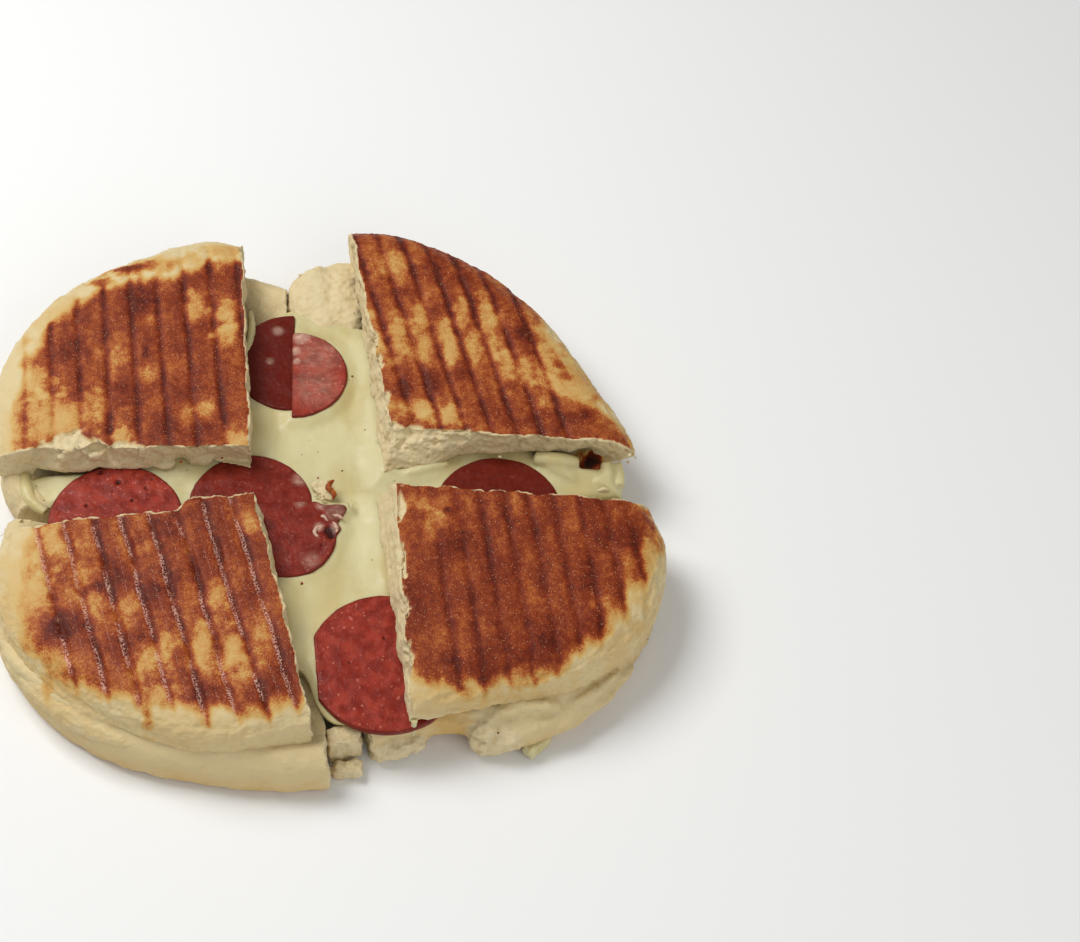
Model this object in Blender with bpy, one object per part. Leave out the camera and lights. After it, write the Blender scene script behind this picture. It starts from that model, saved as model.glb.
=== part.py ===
"""Bazlama toast: a grilled, filled round flatbread cut into four quarters and pulled apart.

Metres, +Z up, -Y is the front. The part stands on Z = 0 with the middle of its box at
the origin. From below it is built up of four base quarters, one sheet of melted cheese,
slices of sausage set into the cheese, and four top quarters with grill grooves. Plan
sizes are given in millimetres from the middle of the bread before it was pulled apart,
and heights in millimetres above the surface it stands on.
"""
import math
from dataclasses import dataclass

import bmesh
import bpy

MM = 0.001
GAP = 0.3

# Heights of the layers
BASE_TOP = 12.5
CHEESE_FLOOR = BASE_TOP + GAP
CHEESE_TOP = 19.2
SLICE_TOP = CHEESE_TOP
SLICE_THICKNESS = 2.6
TOP_UNDERSIDE = CHEESE_TOP + GAP
CRUST_HEIGHT = 30.5

# The middle of the footprint, measured from the middle of the bread
FOOTPRINT_MIDDLE = (-3.85, 3.34)

# Rim profile of a top quarter: distance in from the rim, height of the crust side,
# height of the underside
TOP_RIM = (
    (0.8, 23.2, 16.0),
    (2.6, 26.2, 13.8),
    (5.5, 28.5, CHEESE_FLOOR),
    (10.0, 29.9, CHEESE_FLOOR),
    (14.5, CRUST_HEIGHT, TOP_UNDERSIDE),
)
TOP_RIM_WIDEST = 19.5
TORN_WIDEST = 22.0

# Rim profile of a base quarter, in the same order
BASE_RIM = (
    (0.9, 9.6, 3.2),
    (2.8, 11.7, 1.0),
    (6.0, BASE_TOP, 0.0),
)
BASE_RIM_WIDEST = 6.4

# How a quarter is divided: steps along the arc, and the shares of the way from the
# corner at which the rows of the top and base quarters lie
ARC_STEPS = 15
TOP_ROWS = (0.84, 0.68, 0.52, 0.37, 0.23, 0.10)
BASE_ROWS = (0.70, 0.42, 0.18)

# Torn cut edges: sway of the edge in plan, the share of the arc that sways with it, and
# crumb standing out of the cut face
EDGE_SWAY = 0.8
SWAY_SHARE = 0.14
CRUMB_SWELL = 0.7

# The share of the arc over which a rim's end is drawn in
NIP_SHARE = 0.05

# Edges turned by more than this stay sharp
SHARP_ANGLE = 40.0

# Grill grooves
GROOVE_WIDTH = 3.0
GROOVE_FLOOR_WIDTH = 1.5
GROOVE_REACH = 120.0
GROOVE_CLEARANCE = 3.0

# Cheese sheet
CHEESE_RADIUS = 68.0
CHEESE_EDGE_DROP = 1.6
CHEESE_RINGS = (0.22, 0.42, 0.60, 0.76, 0.88, 0.96, 1.0)
CHEESE_EVEN_STEPS = 56
CHEESE_SAG = 2.0
CHEESE_SAG_WIDTH = 9.0
CHEESE_FILM = 0.3
CHEESE_WAVE = 0.35
CHEESE_FOOT_INSET = 1.0

# Where the cut between the left and the right top quarters passes
CUT_MIDDLE_X = -5.0


@dataclass
class Quarter:
    """Plan of one quarter: two straight cut edges from a corner, joined by an arc.

    The first cut edge runs at angles[0] and the second at angles[1], in degrees from +X.
    Radii are the distances from the corner to the rim at even angles between the two.
    The crust's own corner stands off the foot's corner by crust_step. Nips are how far
    the rim is drawn in at its two ends. Along the torn share of the arc, from the first
    edge, the rim is ripped open and stays off the base.
    """

    name: str
    corner: tuple
    angles: tuple
    radii: tuple
    crust_step: tuple = (0.0, 0.0)
    nips: tuple = (0.0, 0.0)
    torn: float = 0.0


@dataclass
class Grooves:
    """Parallel grill grooves: lean from +Y in degrees, then distances in millimetres."""

    lean: float
    pitch: float
    first: float
    count: int
    depth: float


@dataclass
class Slice:
    """A sausage slice: middle, radius, and the straight edges where a knife cut it.

    Each chord is the direction from the middle in degrees and the distance to the cut.
    Lobes are bumps of the edge: direction, width in degrees, and height. The slice dips
    by drop at its edge in the direction dip.
    """

    name: str
    middle: tuple
    radius: float
    chords: tuple = ()
    lobes: tuple = ()
    dip: float = 0.0
    drop: float = 0.0


TOPS = (
    Quarter(
        "bread_top_back_left", (-26.0, 8.0), (93.5, 180.0), (98, 97, 98, 94, 85),
        crust_step=(-0.5, 1.5), nips=(4.0, 0.0),
    ),
    Quarter(
        "bread_top_back_right", (17.0, 7.0), (96.2, 2.5), (102, 93, 84, 79, 83.5),
        crust_step=(2.0, 10.0), nips=(1.0, 0.0),
    ),
    Quarter(
        "bread_top_front_left", (-22.0, -11.0), (-78.5, -172.5), (81, 85, 87, 91, 88),
        crust_step=(-2.0, -1.0), nips=(0.0, 4.0),
    ),
    Quarter(
        "bread_top_front_right", (14.0, -4.0), (-83.5, -5.0), (82, 84, 94, 98, 93),
        crust_step=(6.0, -0.8), nips=(0.0, 3.0), torn=0.27,
    ),
)

TOP_GROOVES = {
    "bread_top_back_left": Grooves(-6.1, 9.25, -98.0, 9, 0.9),
    "bread_top_back_right": Grooves(-13.4, 7.9, 30.6, 7, 0.9),
    "bread_top_front_left": Grooves(-16.0, 8.85, -95.6, 8, 1.4),
    "bread_top_front_right": Grooves(-5.6, 7.7, 30.5, 9, 0.7),
}

BASES = (
    Quarter("bread_base_back_left", (-12.0, -4.5), (92.5, 180.0), (98, 112, 114, 107, 97), nips=(2.0, 0.0)),
    Quarter("bread_base_back_right", (-9.6, -4.0), (91.0, 3.0), (108, 109, 108, 106, 106), nips=(8.0, 0.0)),
    Quarter("bread_base_front_left", (-11.0, -7.5), (-83.5, -178.5), (93, 95, 103, 105, 97)),
    Quarter(
        "bread_base_front_right", (-8.4, -7.0), (-76.0, 2.0),
        (85, 85.5, 92, 104, 110, 115, 117, 114, 108),
    ),
)

CHEESE_ARMS = (
    # direction in degrees, reach, half width in degrees
    (179.2, 101.0, 5.0),
    (2.6, 96.0, 4.4),
    (98.0, 80.0, 11.0),
    (-86.0, 84.0, 9.0),
)

SLICES = (
    Slice("sausage_slice_left", (-70.0, -12.0), 22.0, drop=0.4, dip=180.0),
    Slice("sausage_slice_back_left_half", (-13.4, 53.5), 20.5, chords=((0.0, 0.0),), drop=1.0, dip=0.0),
    Slice("sausage_slice_back_right_half", (-12.6, 47.3), 17.9, chords=((180.0, 0.0),), drop=1.2, dip=180.0),
    Slice("sausage_slice_centre_back", (-26.5, -6.0), 20.3, chords=((-88.0, -1.5),), drop=0.6, dip=0.0),
    Slice(
        "sausage_slice_centre_front", (-14.0, -17.5), 15.5,
        chords=((92.0, 12.0),), lobes=((30.0, 10.0, 6.0), (8.0, 6.0, 1.5)), drop=1.6, dip=-90.0,
    ),
    Slice("sausage_slice_front", (16.5, -64.0), 24.0, chords=((184.0, 21.5),), drop=0.8, dip=-90.0),
    Slice("sausage_slice_right", (54.0, -8.5), 20.5, drop=0.5, dip=90.0),
)
SLICE_STEPS = 26
SLICE_EDGE_ROUND = 0.6
SEAT_HEADROOM = 4.0

# How far from a slice's straight cut its faces fan out, as a share of its radius
CHORD_STAND_OFF = 0.42

# Loose bits: middle, half sizes along X, Y and Z, and turn about Z in degrees
CRUMB_BITS = {
    "crumb_bit_centre": ((-1.6, 1.2, 18.6), (3.2, 4.2, 1.5), 25.0),
    "crumb_block_front": ((4.6, -86.0, 6.4), (4.0, 3.0, 6.3), 8.0),
    "crumb_chunk_front": ((5.6, -93.0, 2.9), (4.0, 2.2, 2.9), 4.0),
}
CHEESE_DRIP = ((63.8, -85.0, 3.1), (4.6, 1.8, 3.1), 42.0)
BIT_SEGMENTS = 12
BIT_RINGS = 7

# The hole melted through the cheese at its right end: middle and half sizes
CHEESE_HOLE = ((84.5, 10.6), (3.4, 1.9))
HOLE_SIDES = 14


def clear_scene():
    """Remove every object of the scene."""
    for item in list(bpy.data.objects):
        bpy.data.objects.remove(item, do_unlink=True)


def material(name, colour, roughness):
    """Return a plain non-metal material."""
    made = bpy.data.materials.new(name)
    made.use_nodes = True
    shader = made.node_tree.nodes["Principled BSDF"]
    shader.inputs["Base Color"].default_value = (*colour, 1.0)
    shader.inputs["Roughness"].default_value = roughness
    shader.inputs["Metallic"].default_value = 0.0
    return made


def even_curve(values, share):
    """Return the height at share (0 to 1) of a smooth curve through evenly spaced values."""
    last = len(values) - 1
    place = min(max(share, 0.0), 1.0) * last
    i = min(int(place), last - 1)
    t = place - i
    before, start, end, after = (values[max(min(k, last), 0)] for k in (i - 1, i, i + 1, i + 2))
    bend = 2 * before - 5 * start + 4 * end - after
    twist = 3 * (start - end) + after - before
    return start + 0.5 * t * ((end - before) + t * (bend + t * twist))


def smooth_step(low, high, value):
    """Return 0 below low, 1 above high, and a smooth rise between."""
    t = min(max((value - low) / (high - low), 0.0), 1.0)
    return t * t * (3 - 2 * t)


def rim_point(quarter, share):
    """Return the rim's plan position at share (0 to 1) of the way from first to second edge."""
    start, end = quarter.angles
    turn = math.radians(start + (end - start) * share)
    reach = even_curve(quarter.radii, share)
    reach -= quarter.nips[0] * math.exp(-(share / NIP_SHARE) ** 2)
    reach -= quarter.nips[1] * math.exp(-((1.0 - share) / NIP_SHARE) ** 2)
    return (
        quarter.corner[0] + reach * math.cos(turn),
        quarter.corner[1] + reach * math.sin(turn),
        reach,
    )


def plan_point(quarter, corner, share, inset):
    """Return the plan position at a distance in from the rim, on the line to the corner."""
    x, y, reach = rim_point(quarter, share)
    part = 1.0 - inset / reach
    along = part * reach
    side = 1.0 if quarter.angles[1] > quarter.angles[0] else -1.0
    edge = max(0.0, 1.0 - min(share, 1.0 - share) / SWAY_SHARE)
    sway = EDGE_SWAY * edge * (math.sin(0.31 * along + 2.0 * share) + 0.6 * math.sin(0.74 * along))
    out = math.atan2(y - quarter.corner[1], x - quarter.corner[0]) + side * math.pi / 2
    return (
        corner[0] + (x - corner[0]) * part + sway * math.cos(out),
        corner[1] + (y - corner[1]) * part + sway * math.sin(out),
    )


def out_of_edge(quarter, edge):
    """Return the plan direction that points out of a quarter's cut edge (0 or 1)."""
    turn = math.radians(quarter.angles[edge])
    side = 1.0 if quarter.angles[1] > quarter.angles[0] else -1.0
    side = -side if edge == 0 else side
    return -math.sin(turn) * side, math.cos(turn) * side


def crust_swell(x, y):
    """Return the slow rise and fall of a crust above its mean height."""
    return 0.35 * math.sin(0.071 * x + 1.3) * math.cos(0.083 * y - 0.4) + 0.2 * math.sin(0.13 * y + 0.9)


def quarter_mesh(quarter, rim_rows, inner_rows, widest, swell):
    """Return a bmesh of a quarter: an upper and a lower sheet that meet at the rim.

    rim_rows lists distance in from the rim, upper height and lower height. The rows
    nearer the corner, given by inner_rows, are level with the last one.
    """
    mesh = bmesh.new()
    crust_corner = (quarter.corner[0] + quarter.crust_step[0], quarter.corner[1] + quarter.crust_step[1])
    last_inset, upper_level, lower_level = rim_rows[-1]
    upper, lower = [], []
    for step in range(ARC_STEPS + 1):
        share = step / ARC_STEPS
        x, y, reach = rim_point(quarter, share)
        closed = share >= quarter.torn
        rim = mesh.verts.new((x, y, widest if closed else TORN_WIDEST))
        high, low = [rim], [rim]
        rows = list(rim_rows)
        rows += [(reach - (reach - last_inset) * part, upper_level, lower_level) for part in inner_rows]
        for inset, up, down in rows:
            ux, uy = plan_point(quarter, crust_corner, share, inset)
            lx, ly = plan_point(quarter, quarter.corner, share, inset)
            lift = crust_swell(ux, uy) * smooth_step(2.0, 16.0, inset) if swell else 0.0
            high.append(mesh.verts.new((ux, uy, up + lift)))
            low.append(mesh.verts.new((lx, ly, down if closed else max(down, TOP_UNDERSIDE))))
        upper.append(high)
        lower.append(low)
    lift = crust_swell(*crust_corner) if swell else 0.0
    peak = mesh.verts.new((*crust_corner, upper_level + lift))
    foot = mesh.verts.new((*quarter.corner, lower_level))
    for sheet, tip in ((upper, peak), (lower, foot)):
        for first, second in zip(sheet, sheet[1:]):
            for k in range(len(first) - 1):
                corners = (first[k], first[k + 1], second[k + 1], second[k])
                mesh.faces.new(list(dict.fromkeys(corners)))
            mesh.faces.new((first[-1], tip, second[-1]))
    corner_middle = mesh.verts.new((peak.co + foot.co) / 2)
    for edge in (0, 1):
        high, low = upper[-edge], lower[-edge]
        out_x, out_y = out_of_edge(quarter, edge)
        middle = [high[0]]
        for k in range(1, len(high)):
            x, y, z = (high[k].co + low[k].co) / 2
            out = CRUMB_SWELL * (0.6 + 0.4 * math.sin(2.3 * k + x))
            middle.append(mesh.verts.new((x + out_x * out, y + out_y * out, z)))
        rows = [high + [peak], middle + [corner_middle], low + [foot]]
        for first, second in zip(rows, rows[1:]):
            for k in range(len(first) - 1):
                corners = (first[k], first[k + 1], second[k + 1], second[k])
                mesh.faces.new(list(dict.fromkeys(corners)))
    bmesh.ops.recalc_face_normals(mesh, faces=mesh.faces)
    bmesh.ops.triangulate(mesh, faces=mesh.faces)
    return mesh


def inside_slice(piece, x, y):
    """Return whether a plan position lies on a slice."""
    off_x, off_y = x - piece.middle[0], y - piece.middle[1]
    reach = piece.radius
    for direction, width, height in piece.lobes:
        off = math.degrees(math.atan2(off_y, off_x)) - direction
        off = (off + 180.0) % 360.0 - 180.0
        reach += height * math.exp(-(off / width) ** 2)
    if math.hypot(off_x, off_y) > reach:
        return False
    for direction, distance in piece.chords:
        turn = math.radians(direction)
        if off_x * math.cos(turn) + off_y * math.sin(turn) > distance:
            return False
    return True


def slice_outline(piece, margin):
    """Return a point well inside a slice, and the ring of points on its edge around it."""
    centre = list(piece.middle)
    for direction, distance in piece.chords:
        inset = max(0.0, CHORD_STAND_OFF * piece.radius - distance)
        centre[0] -= inset * math.cos(math.radians(direction))
        centre[1] -= inset * math.sin(math.radians(direction))
    edge = []
    for step in range(SLICE_STEPS):
        turn = 2 * math.pi * step / SLICE_STEPS
        reach, stride = 0.0, 2.0 * piece.radius
        while stride > 0.01:
            x = centre[0] + (reach + stride) * math.cos(turn)
            y = centre[1] + (reach + stride) * math.sin(turn)
            if inside_slice(piece, x, y):
                reach += stride
            stride *= 0.5
        reach += margin
        edge.append((centre[0] + reach * math.cos(turn), centre[1] + reach * math.sin(turn)))
    return centre, edge


def slice_drop(piece, x, y):
    """Return how far a slice has dipped at a plan position."""
    dip = math.radians(piece.dip)
    along = (x - piece.middle[0]) * math.cos(dip) + (y - piece.middle[1]) * math.sin(dip)
    return piece.drop * smooth_step(-0.3 * piece.radius, piece.radius, along)


def slice_mesh(piece, margin=0.0, head_room=0.0):
    """Return a bmesh of a slice, grown by margin all round and by head_room above."""
    mesh = bmesh.new()
    centre, edge = slice_outline(piece, margin)
    top = SLICE_TOP + head_room
    bottom = SLICE_TOP - SLICE_THICKNESS - margin
    rounding = 0.0 if margin else SLICE_EDGE_ROUND
    levels = [(rounding, top), (0.0, top - rounding), (0.0, bottom + rounding), (rounding, bottom)]
    if margin:
        levels = [(0.0, top), (0.0, bottom)]
    rings = []
    for inset, height in levels:
        ring = []
        for x, y in edge:
            reach = math.hypot(x - centre[0], y - centre[1])
            part = 1.0 - inset / reach
            px = centre[0] + (x - centre[0]) * part
            py = centre[1] + (y - centre[1]) * part
            ring.append(mesh.verts.new((px, py, height - slice_drop(piece, px, py))))
        rings.append(ring)
    sink = slice_drop(piece, *centre)
    peak = mesh.verts.new((*centre, top - sink))
    foot = mesh.verts.new((*centre, bottom - sink))
    for k in range(SLICE_STEPS):
        n = (k + 1) % SLICE_STEPS
        mesh.faces.new((peak, rings[0][k], rings[0][n]))
        mesh.faces.new((foot, rings[-1][n], rings[-1][k]))
        for first, second in zip(rings, rings[1:]):
            mesh.faces.new((first[k], second[k], second[n], first[n]))
    bmesh.ops.triangulate(mesh, faces=mesh.faces)
    bmesh.ops.recalc_face_normals(mesh, faces=mesh.faces)
    return mesh


def cut_line_room(x, y):
    """Return how far a plan position lies inside the gap between the top quarters."""
    back = y > 0
    left, right = (TOPS[0], TOPS[1]) if back else (TOPS[2], TOPS[3])
    lengthwise = min(side_room(left, 0, x, y), side_room(right, 0, x, y))
    near, far = (TOPS[2], TOPS[0]) if x < CUT_MIDDLE_X else (TOPS[3], TOPS[1])
    crosswise = min(side_room(near, 1, x, y), side_room(far, 1, x, y))
    return max(lengthwise, crosswise)


def side_room(quarter, edge, x, y):
    """Return the distance from a plan position to a quarter's cut edge, outside it."""
    out_x, out_y = out_of_edge(quarter, edge)
    return (x - quarter.corner[0]) * out_x + (y - quarter.corner[1]) * out_y


def cheese_reach(turn):
    """Return the cheese sheet's plan radius in the direction turn."""
    reach = CHEESE_RADIUS + 1.5 * math.sin(5 * turn + 0.7)
    best = reach
    for direction, arm, width in CHEESE_ARMS:
        off = math.degrees(turn) - direction
        off = (off + 180.0) % 360.0 - 180.0
        best = max(best, reach + (arm - reach) * math.exp(-(off / width) ** 4))
    return best


def cheese_height(x, y):
    """Return the height of the cheese's upper side, which sinks where the bread is parted."""
    room = cut_line_room(x, y)
    sag = CHEESE_SAG * smooth_step(0.0, CHEESE_SAG_WIDTH, room)
    wave = CHEESE_WAVE * math.sin(0.19 * x + 0.5) * math.sin(0.16 * y + 1.1)
    return CHEESE_TOP - sag - (CHEESE_FILM + wave) * smooth_step(0.0, 0.5 * CHEESE_SAG_WIDTH, room)


def cheese_turns():
    """Return the directions in which the cheese's edge is drawn, closer at the arms."""
    full = 2 * math.pi
    spread = (-1.4, -1.05, -0.85, -0.6, 0.0, 0.6, 0.85, 1.05, 1.4)
    arms = [math.radians(middle + width * s) % full for middle, _, width in CHEESE_ARMS for s in spread]
    clear = 0.9 * max(math.radians(width) for _, _, width in CHEESE_ARMS)
    between = []
    for step in range(CHEESE_EVEN_STEPS):
        turn = full * step / CHEESE_EVEN_STEPS
        off = [(turn - math.radians(middle) + math.pi) % full - math.pi for middle, _, _ in CHEESE_ARMS]
        if min(abs(value) for value in off) > clear:
            between.append(turn)
    return sorted(between + arms)


def cheese_mesh():
    """Return a bmesh of the cheese sheet."""
    mesh = bmesh.new()
    turns = cheese_turns()
    rings = []
    for share in CHEESE_RINGS:
        ring = []
        for turn in turns:
            reach = cheese_reach(turn) * share
            x, y = reach * math.cos(turn), reach * math.sin(turn)
            drop = CHEESE_EDGE_DROP * smooth_step(0.9, 1.0, share)
            ring.append(mesh.verts.new((x, y, cheese_height(x, y) - drop)))
        rings.append(ring)
    under = []
    for turn in turns:
        reach = cheese_reach(turn) - CHEESE_FOOT_INSET
        under.append(mesh.verts.new((reach * math.cos(turn), reach * math.sin(turn), CHEESE_FLOOR)))
    rings.append(under)
    peak = mesh.verts.new((0.0, 0.0, cheese_height(0.0, 0.0)))
    foot = mesh.verts.new((0.0, 0.0, CHEESE_FLOOR))
    for k in range(len(turns)):
        n = (k + 1) % len(turns)
        mesh.faces.new((peak, rings[0][k], rings[0][n]))
        mesh.faces.new((foot, under[n], under[k]))
        for first, second in zip(rings, rings[1:]):
            mesh.faces.new((first[k], second[k], second[n], first[n]))
    bmesh.ops.triangulate(mesh, faces=mesh.faces)
    bmesh.ops.recalc_face_normals(mesh, faces=mesh.faces)
    return mesh


def bit_mesh(middle, half_sizes, turn, margin=0.0):
    """Return a bmesh of a torn bit of bread: a lumpy ball, grown by margin."""
    mesh = bmesh.new()
    bmesh.ops.create_uvsphere(mesh, u_segments=BIT_SEGMENTS, v_segments=BIT_RINGS, radius=1.0)
    spin = math.radians(turn)
    for vertex in mesh.verts:
        x, y, z = vertex.co
        lump = 1.0 + 0.10 * math.sin(4.0 * x + 3.0 * y + middle[0]) + 0.06 * math.cos(5.0 * z - 2.0 * x)
        square = 1.0 / max(abs(x), abs(y), abs(z)) ** 0.45
        dx, dy, dz = ((h * lump * square + margin) * c for h, c in zip(half_sizes, (x, y, z)))
        px = middle[0] + dx * math.cos(spin) - dy * math.sin(spin)
        py = middle[1] + dx * math.sin(spin) + dy * math.cos(spin)
        vertex.co = (px, py, max(middle[2] + dz, -margin))
    bmesh.ops.recalc_face_normals(mesh, faces=mesh.faces)
    return mesh


def groove_mesh(grooves, index):
    """Return a bmesh of the bar that presses one groove: a prism with a narrower foot."""
    mesh = bmesh.new()
    lean = math.radians(grooves.lean)
    across = (math.cos(lean), -math.sin(lean))
    along = (math.sin(lean), math.cos(lean))
    offset = grooves.first + grooves.pitch * index
    floor = CRUST_HEIGHT - grooves.depth
    ceiling = CRUST_HEIGHT + GROOVE_CLEARANCE
    narrow = 0.5 * GROOVE_FLOOR_WIDTH
    wide = 0.5 * GROOVE_WIDTH + (0.5 * GROOVE_WIDTH - narrow) * GROOVE_CLEARANCE / grooves.depth
    ends = []
    for end in (-GROOVE_REACH, GROOVE_REACH):
        ring = []
        for side, height in ((-narrow, floor), (narrow, floor), (wide, ceiling), (-wide, ceiling)):
            x = across[0] * (offset + side) + along[0] * end
            y = across[1] * (offset + side) + along[1] * end
            ring.append(mesh.verts.new((x, y, height)))
        ends.append(ring)
    mesh.faces.new(ends[0])
    mesh.faces.new(list(reversed(ends[1])))
    for k in range(4):
        n = (k + 1) % 4
        mesh.faces.new((ends[0][k], ends[0][n], ends[1][n], ends[1][k]))
    bmesh.ops.recalc_face_normals(mesh, faces=mesh.faces)
    return mesh


def hole_mesh():
    """Return a bmesh of the oval plug that makes the hole in the cheese."""
    mesh = bmesh.new()
    (x, y), (half_x, half_y) = CHEESE_HOLE
    bmesh.ops.create_cone(
        mesh, cap_ends=True, segments=HOLE_SIDES, radius1=1.0, radius2=1.0, depth=CHEESE_TOP,
    )
    for vertex in mesh.verts:
        vertex.co = (x + half_x * vertex.co.x, y + half_y * vertex.co.y, vertex.co.z + CHEESE_TOP)
    return mesh


def place(name, mesh, finish=None):
    """Turn a bmesh in millimetres into an object in metres and return it."""
    for vertex in mesh.verts:
        x, y, z = vertex.co
        vertex.co = ((x - FOOTPRINT_MIDDLE[0]) * MM, (y - FOOTPRINT_MIDDLE[1]) * MM, z * MM)
    data = bpy.data.meshes.new(name)
    mesh.to_mesh(data)
    mesh.free()
    item = bpy.data.objects.new(name, data)
    bpy.context.scene.collection.objects.link(item)
    if finish:
        data.materials.append(finish)
        data.shade_smooth()
        data.set_sharp_from_angle(angle=math.radians(SHARP_ANGLE))
    else:
        item.hide_render = True
        item.display_type = "WIRE"
    return item


def subtract(item, cutter):
    """Cut one object with another by an exact Boolean modifier."""
    cut = item.modifiers.new("cut_" + cutter.name, "BOOLEAN")
    cut.operation = "DIFFERENCE"
    cut.solver = "EXACT"
    cut.object = cutter


def build_bases(finish):
    """Make the four base quarters."""
    for quarter in BASES:
        mesh = quarter_mesh(quarter, BASE_RIM, BASE_ROWS, BASE_RIM_WIDEST, swell=False)
        place(quarter.name, mesh, finish)


def build_tops(finish):
    """Make the four top quarters and press the grill grooves into them."""
    for quarter in TOPS:
        mesh = quarter_mesh(quarter, TOP_RIM, TOP_ROWS, TOP_RIM_WIDEST, swell=True)
        top = place(quarter.name, mesh, finish)
        grooves = TOP_GROOVES[quarter.name]
        for index in range(grooves.count):
            subtract(top, place("groove_{}_{}".format(quarter.name, index), groove_mesh(grooves, index)))


def build_filling(cheese_finish, sausage_finish, crumb_finish):
    """Make the cheese sheet, and the slices and bits that are sunk into it."""
    cheese = place("melted_cheese", cheese_mesh(), cheese_finish)
    place("cheese_drip_front_right", bit_mesh(*CHEESE_DRIP), cheese_finish)
    subtract(cheese, place("hole_in_cheese", hole_mesh()))
    for piece in SLICES:
        place(piece.name, slice_mesh(piece), sausage_finish)
        seat = slice_mesh(piece, margin=GAP, head_room=SEAT_HEADROOM)
        subtract(cheese, place("seat_" + piece.name, seat))
    for name, (middle, half_sizes, turn) in CRUMB_BITS.items():
        place(name, bit_mesh(middle, half_sizes, turn), crumb_finish)
        subtract(cheese, place("seat_" + name, bit_mesh(middle, half_sizes, turn, margin=GAP)))


def main():
    """Build the whole part."""
    clear_scene()
    crust = material("grilled_crust", (0.36, 0.13, 0.05), 0.55)
    crumb = material("white_bread", (0.72, 0.60, 0.40), 0.80)
    cheese = material("melted_cheese", (0.82, 0.76, 0.50), 0.30)
    sausage = material("sausage", (0.32, 0.07, 0.05), 0.40)
    build_bases(crumb)
    build_tops(crust)
    build_filling(cheese, sausage, crumb)


main()
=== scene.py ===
"""Looks of a grilled, filled flatbread that is cut into four quarters and pulled apart.

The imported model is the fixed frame. Every piece is modelled in millimetres from the middle
of the bread before it was pulled apart, as its solids are, and set down in metres.
"""
import logging
import math
from dataclasses import dataclass
from enum import Enum
from typing import Sequence

import bpy
import numpy as np
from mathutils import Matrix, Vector


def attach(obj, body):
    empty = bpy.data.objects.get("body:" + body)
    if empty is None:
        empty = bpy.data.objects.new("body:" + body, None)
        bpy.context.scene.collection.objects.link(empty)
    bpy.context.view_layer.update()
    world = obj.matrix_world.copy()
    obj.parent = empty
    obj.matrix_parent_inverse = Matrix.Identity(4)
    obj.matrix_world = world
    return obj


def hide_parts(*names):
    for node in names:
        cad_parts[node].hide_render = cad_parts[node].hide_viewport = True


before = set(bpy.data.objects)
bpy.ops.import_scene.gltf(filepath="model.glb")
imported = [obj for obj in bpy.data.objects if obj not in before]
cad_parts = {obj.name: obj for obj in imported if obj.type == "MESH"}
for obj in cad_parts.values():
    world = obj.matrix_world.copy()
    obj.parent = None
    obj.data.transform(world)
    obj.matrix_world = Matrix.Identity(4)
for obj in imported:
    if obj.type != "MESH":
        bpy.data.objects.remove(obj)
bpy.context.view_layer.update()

LOG = logging.getLogger("toast")
BODY = "root"
MM = 0.001
FOOTPRINT_MIDDLE = (-3.85, 3.34)

# Heights of the layers above the surface the bread stands on
BASE_TOP = 12.5
CHEESE_FLOOR = 12.8
CHEESE_TOP = 19.2
TOP_UNDERSIDE = 19.5
CRUST_HEIGHT = 30.5

# Where most values of a noise node lie, and a span that falls
MOST_NOISE = (0.3, 0.7)
FALLING = (1.0, 0.0)

Material = bpy.types.Material
Socket = bpy.types.NodeSocket
Triple = tuple[float, float, float]


class Slot(Enum):
    """The record's material slots."""

    CRUST = "crust"
    WHITE_BREAD = "white_bread"
    CHEESE = "cheese"
    SAUSAGE = "sausage"


def smooth_step(low: float, high: float, value: np.ndarray) -> np.ndarray:
    """Rise smoothly from 0 at low to 1 at high.

    Args:
        low: Where the rise starts.
        high: Where it ends; it may be below low, and then the step falls.
        value: The values to map.

    Returns:
        The mapped values, from 0 to 1.
    """
    t = np.clip((np.asarray(value, float) - low) / (high - low), 0.0, 1.0)
    return t * t * (3 - 2 * t)


def even_curve(values: Sequence[float], share: np.ndarray) -> np.ndarray:
    """Read a smooth curve through evenly spaced values.

    Args:
        values: The heights that the curve passes through.
        share: Where to read it, from 0 at the first value to 1 at the last.

    Returns:
        The heights at the shares.
    """
    heights = np.asarray(values, float)
    last = len(heights) - 1
    place = np.clip(share, 0.0, 1.0) * last
    i = np.minimum(place.astype(int), last - 1)
    t = place - i
    before, after = heights[np.maximum(i - 1, 0)], heights[np.minimum(i + 2, last)]
    start, end = heights[i], heights[i + 1]
    bend = 2 * before - 5 * start + 4 * end - after
    twist = 3 * (start - end) + after - before
    return start + 0.5 * t * ((end - before) + t * (bend + t * twist))


def heading(degrees: float) -> np.ndarray:
    """Return the direction in plan that lies at an angle from +X."""
    return np.array([math.cos(math.radians(degrees)), math.sin(math.radians(degrees))])


def spin(degrees: float) -> np.ndarray:
    """Return the matrix that turns rows of points about Z."""
    return np.array([(*heading(degrees), 0.0), (*heading(degrees + 90.0), 0.0), (0.0, 0.0, 1.0)])


def turn_from(direction: float, degrees: np.ndarray) -> np.ndarray:
    """Return the turn from a direction to other ones, from -180 to 180 degrees."""
    return (degrees - direction + 180.0) % 360.0 - 180.0


@dataclass(frozen=True)
class Swell:
    """Soft relief: its height, the length of its longest swells, and its finer layers."""

    amount: float
    size: float
    layers: int = 2
    fall: float = 0.5


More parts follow.
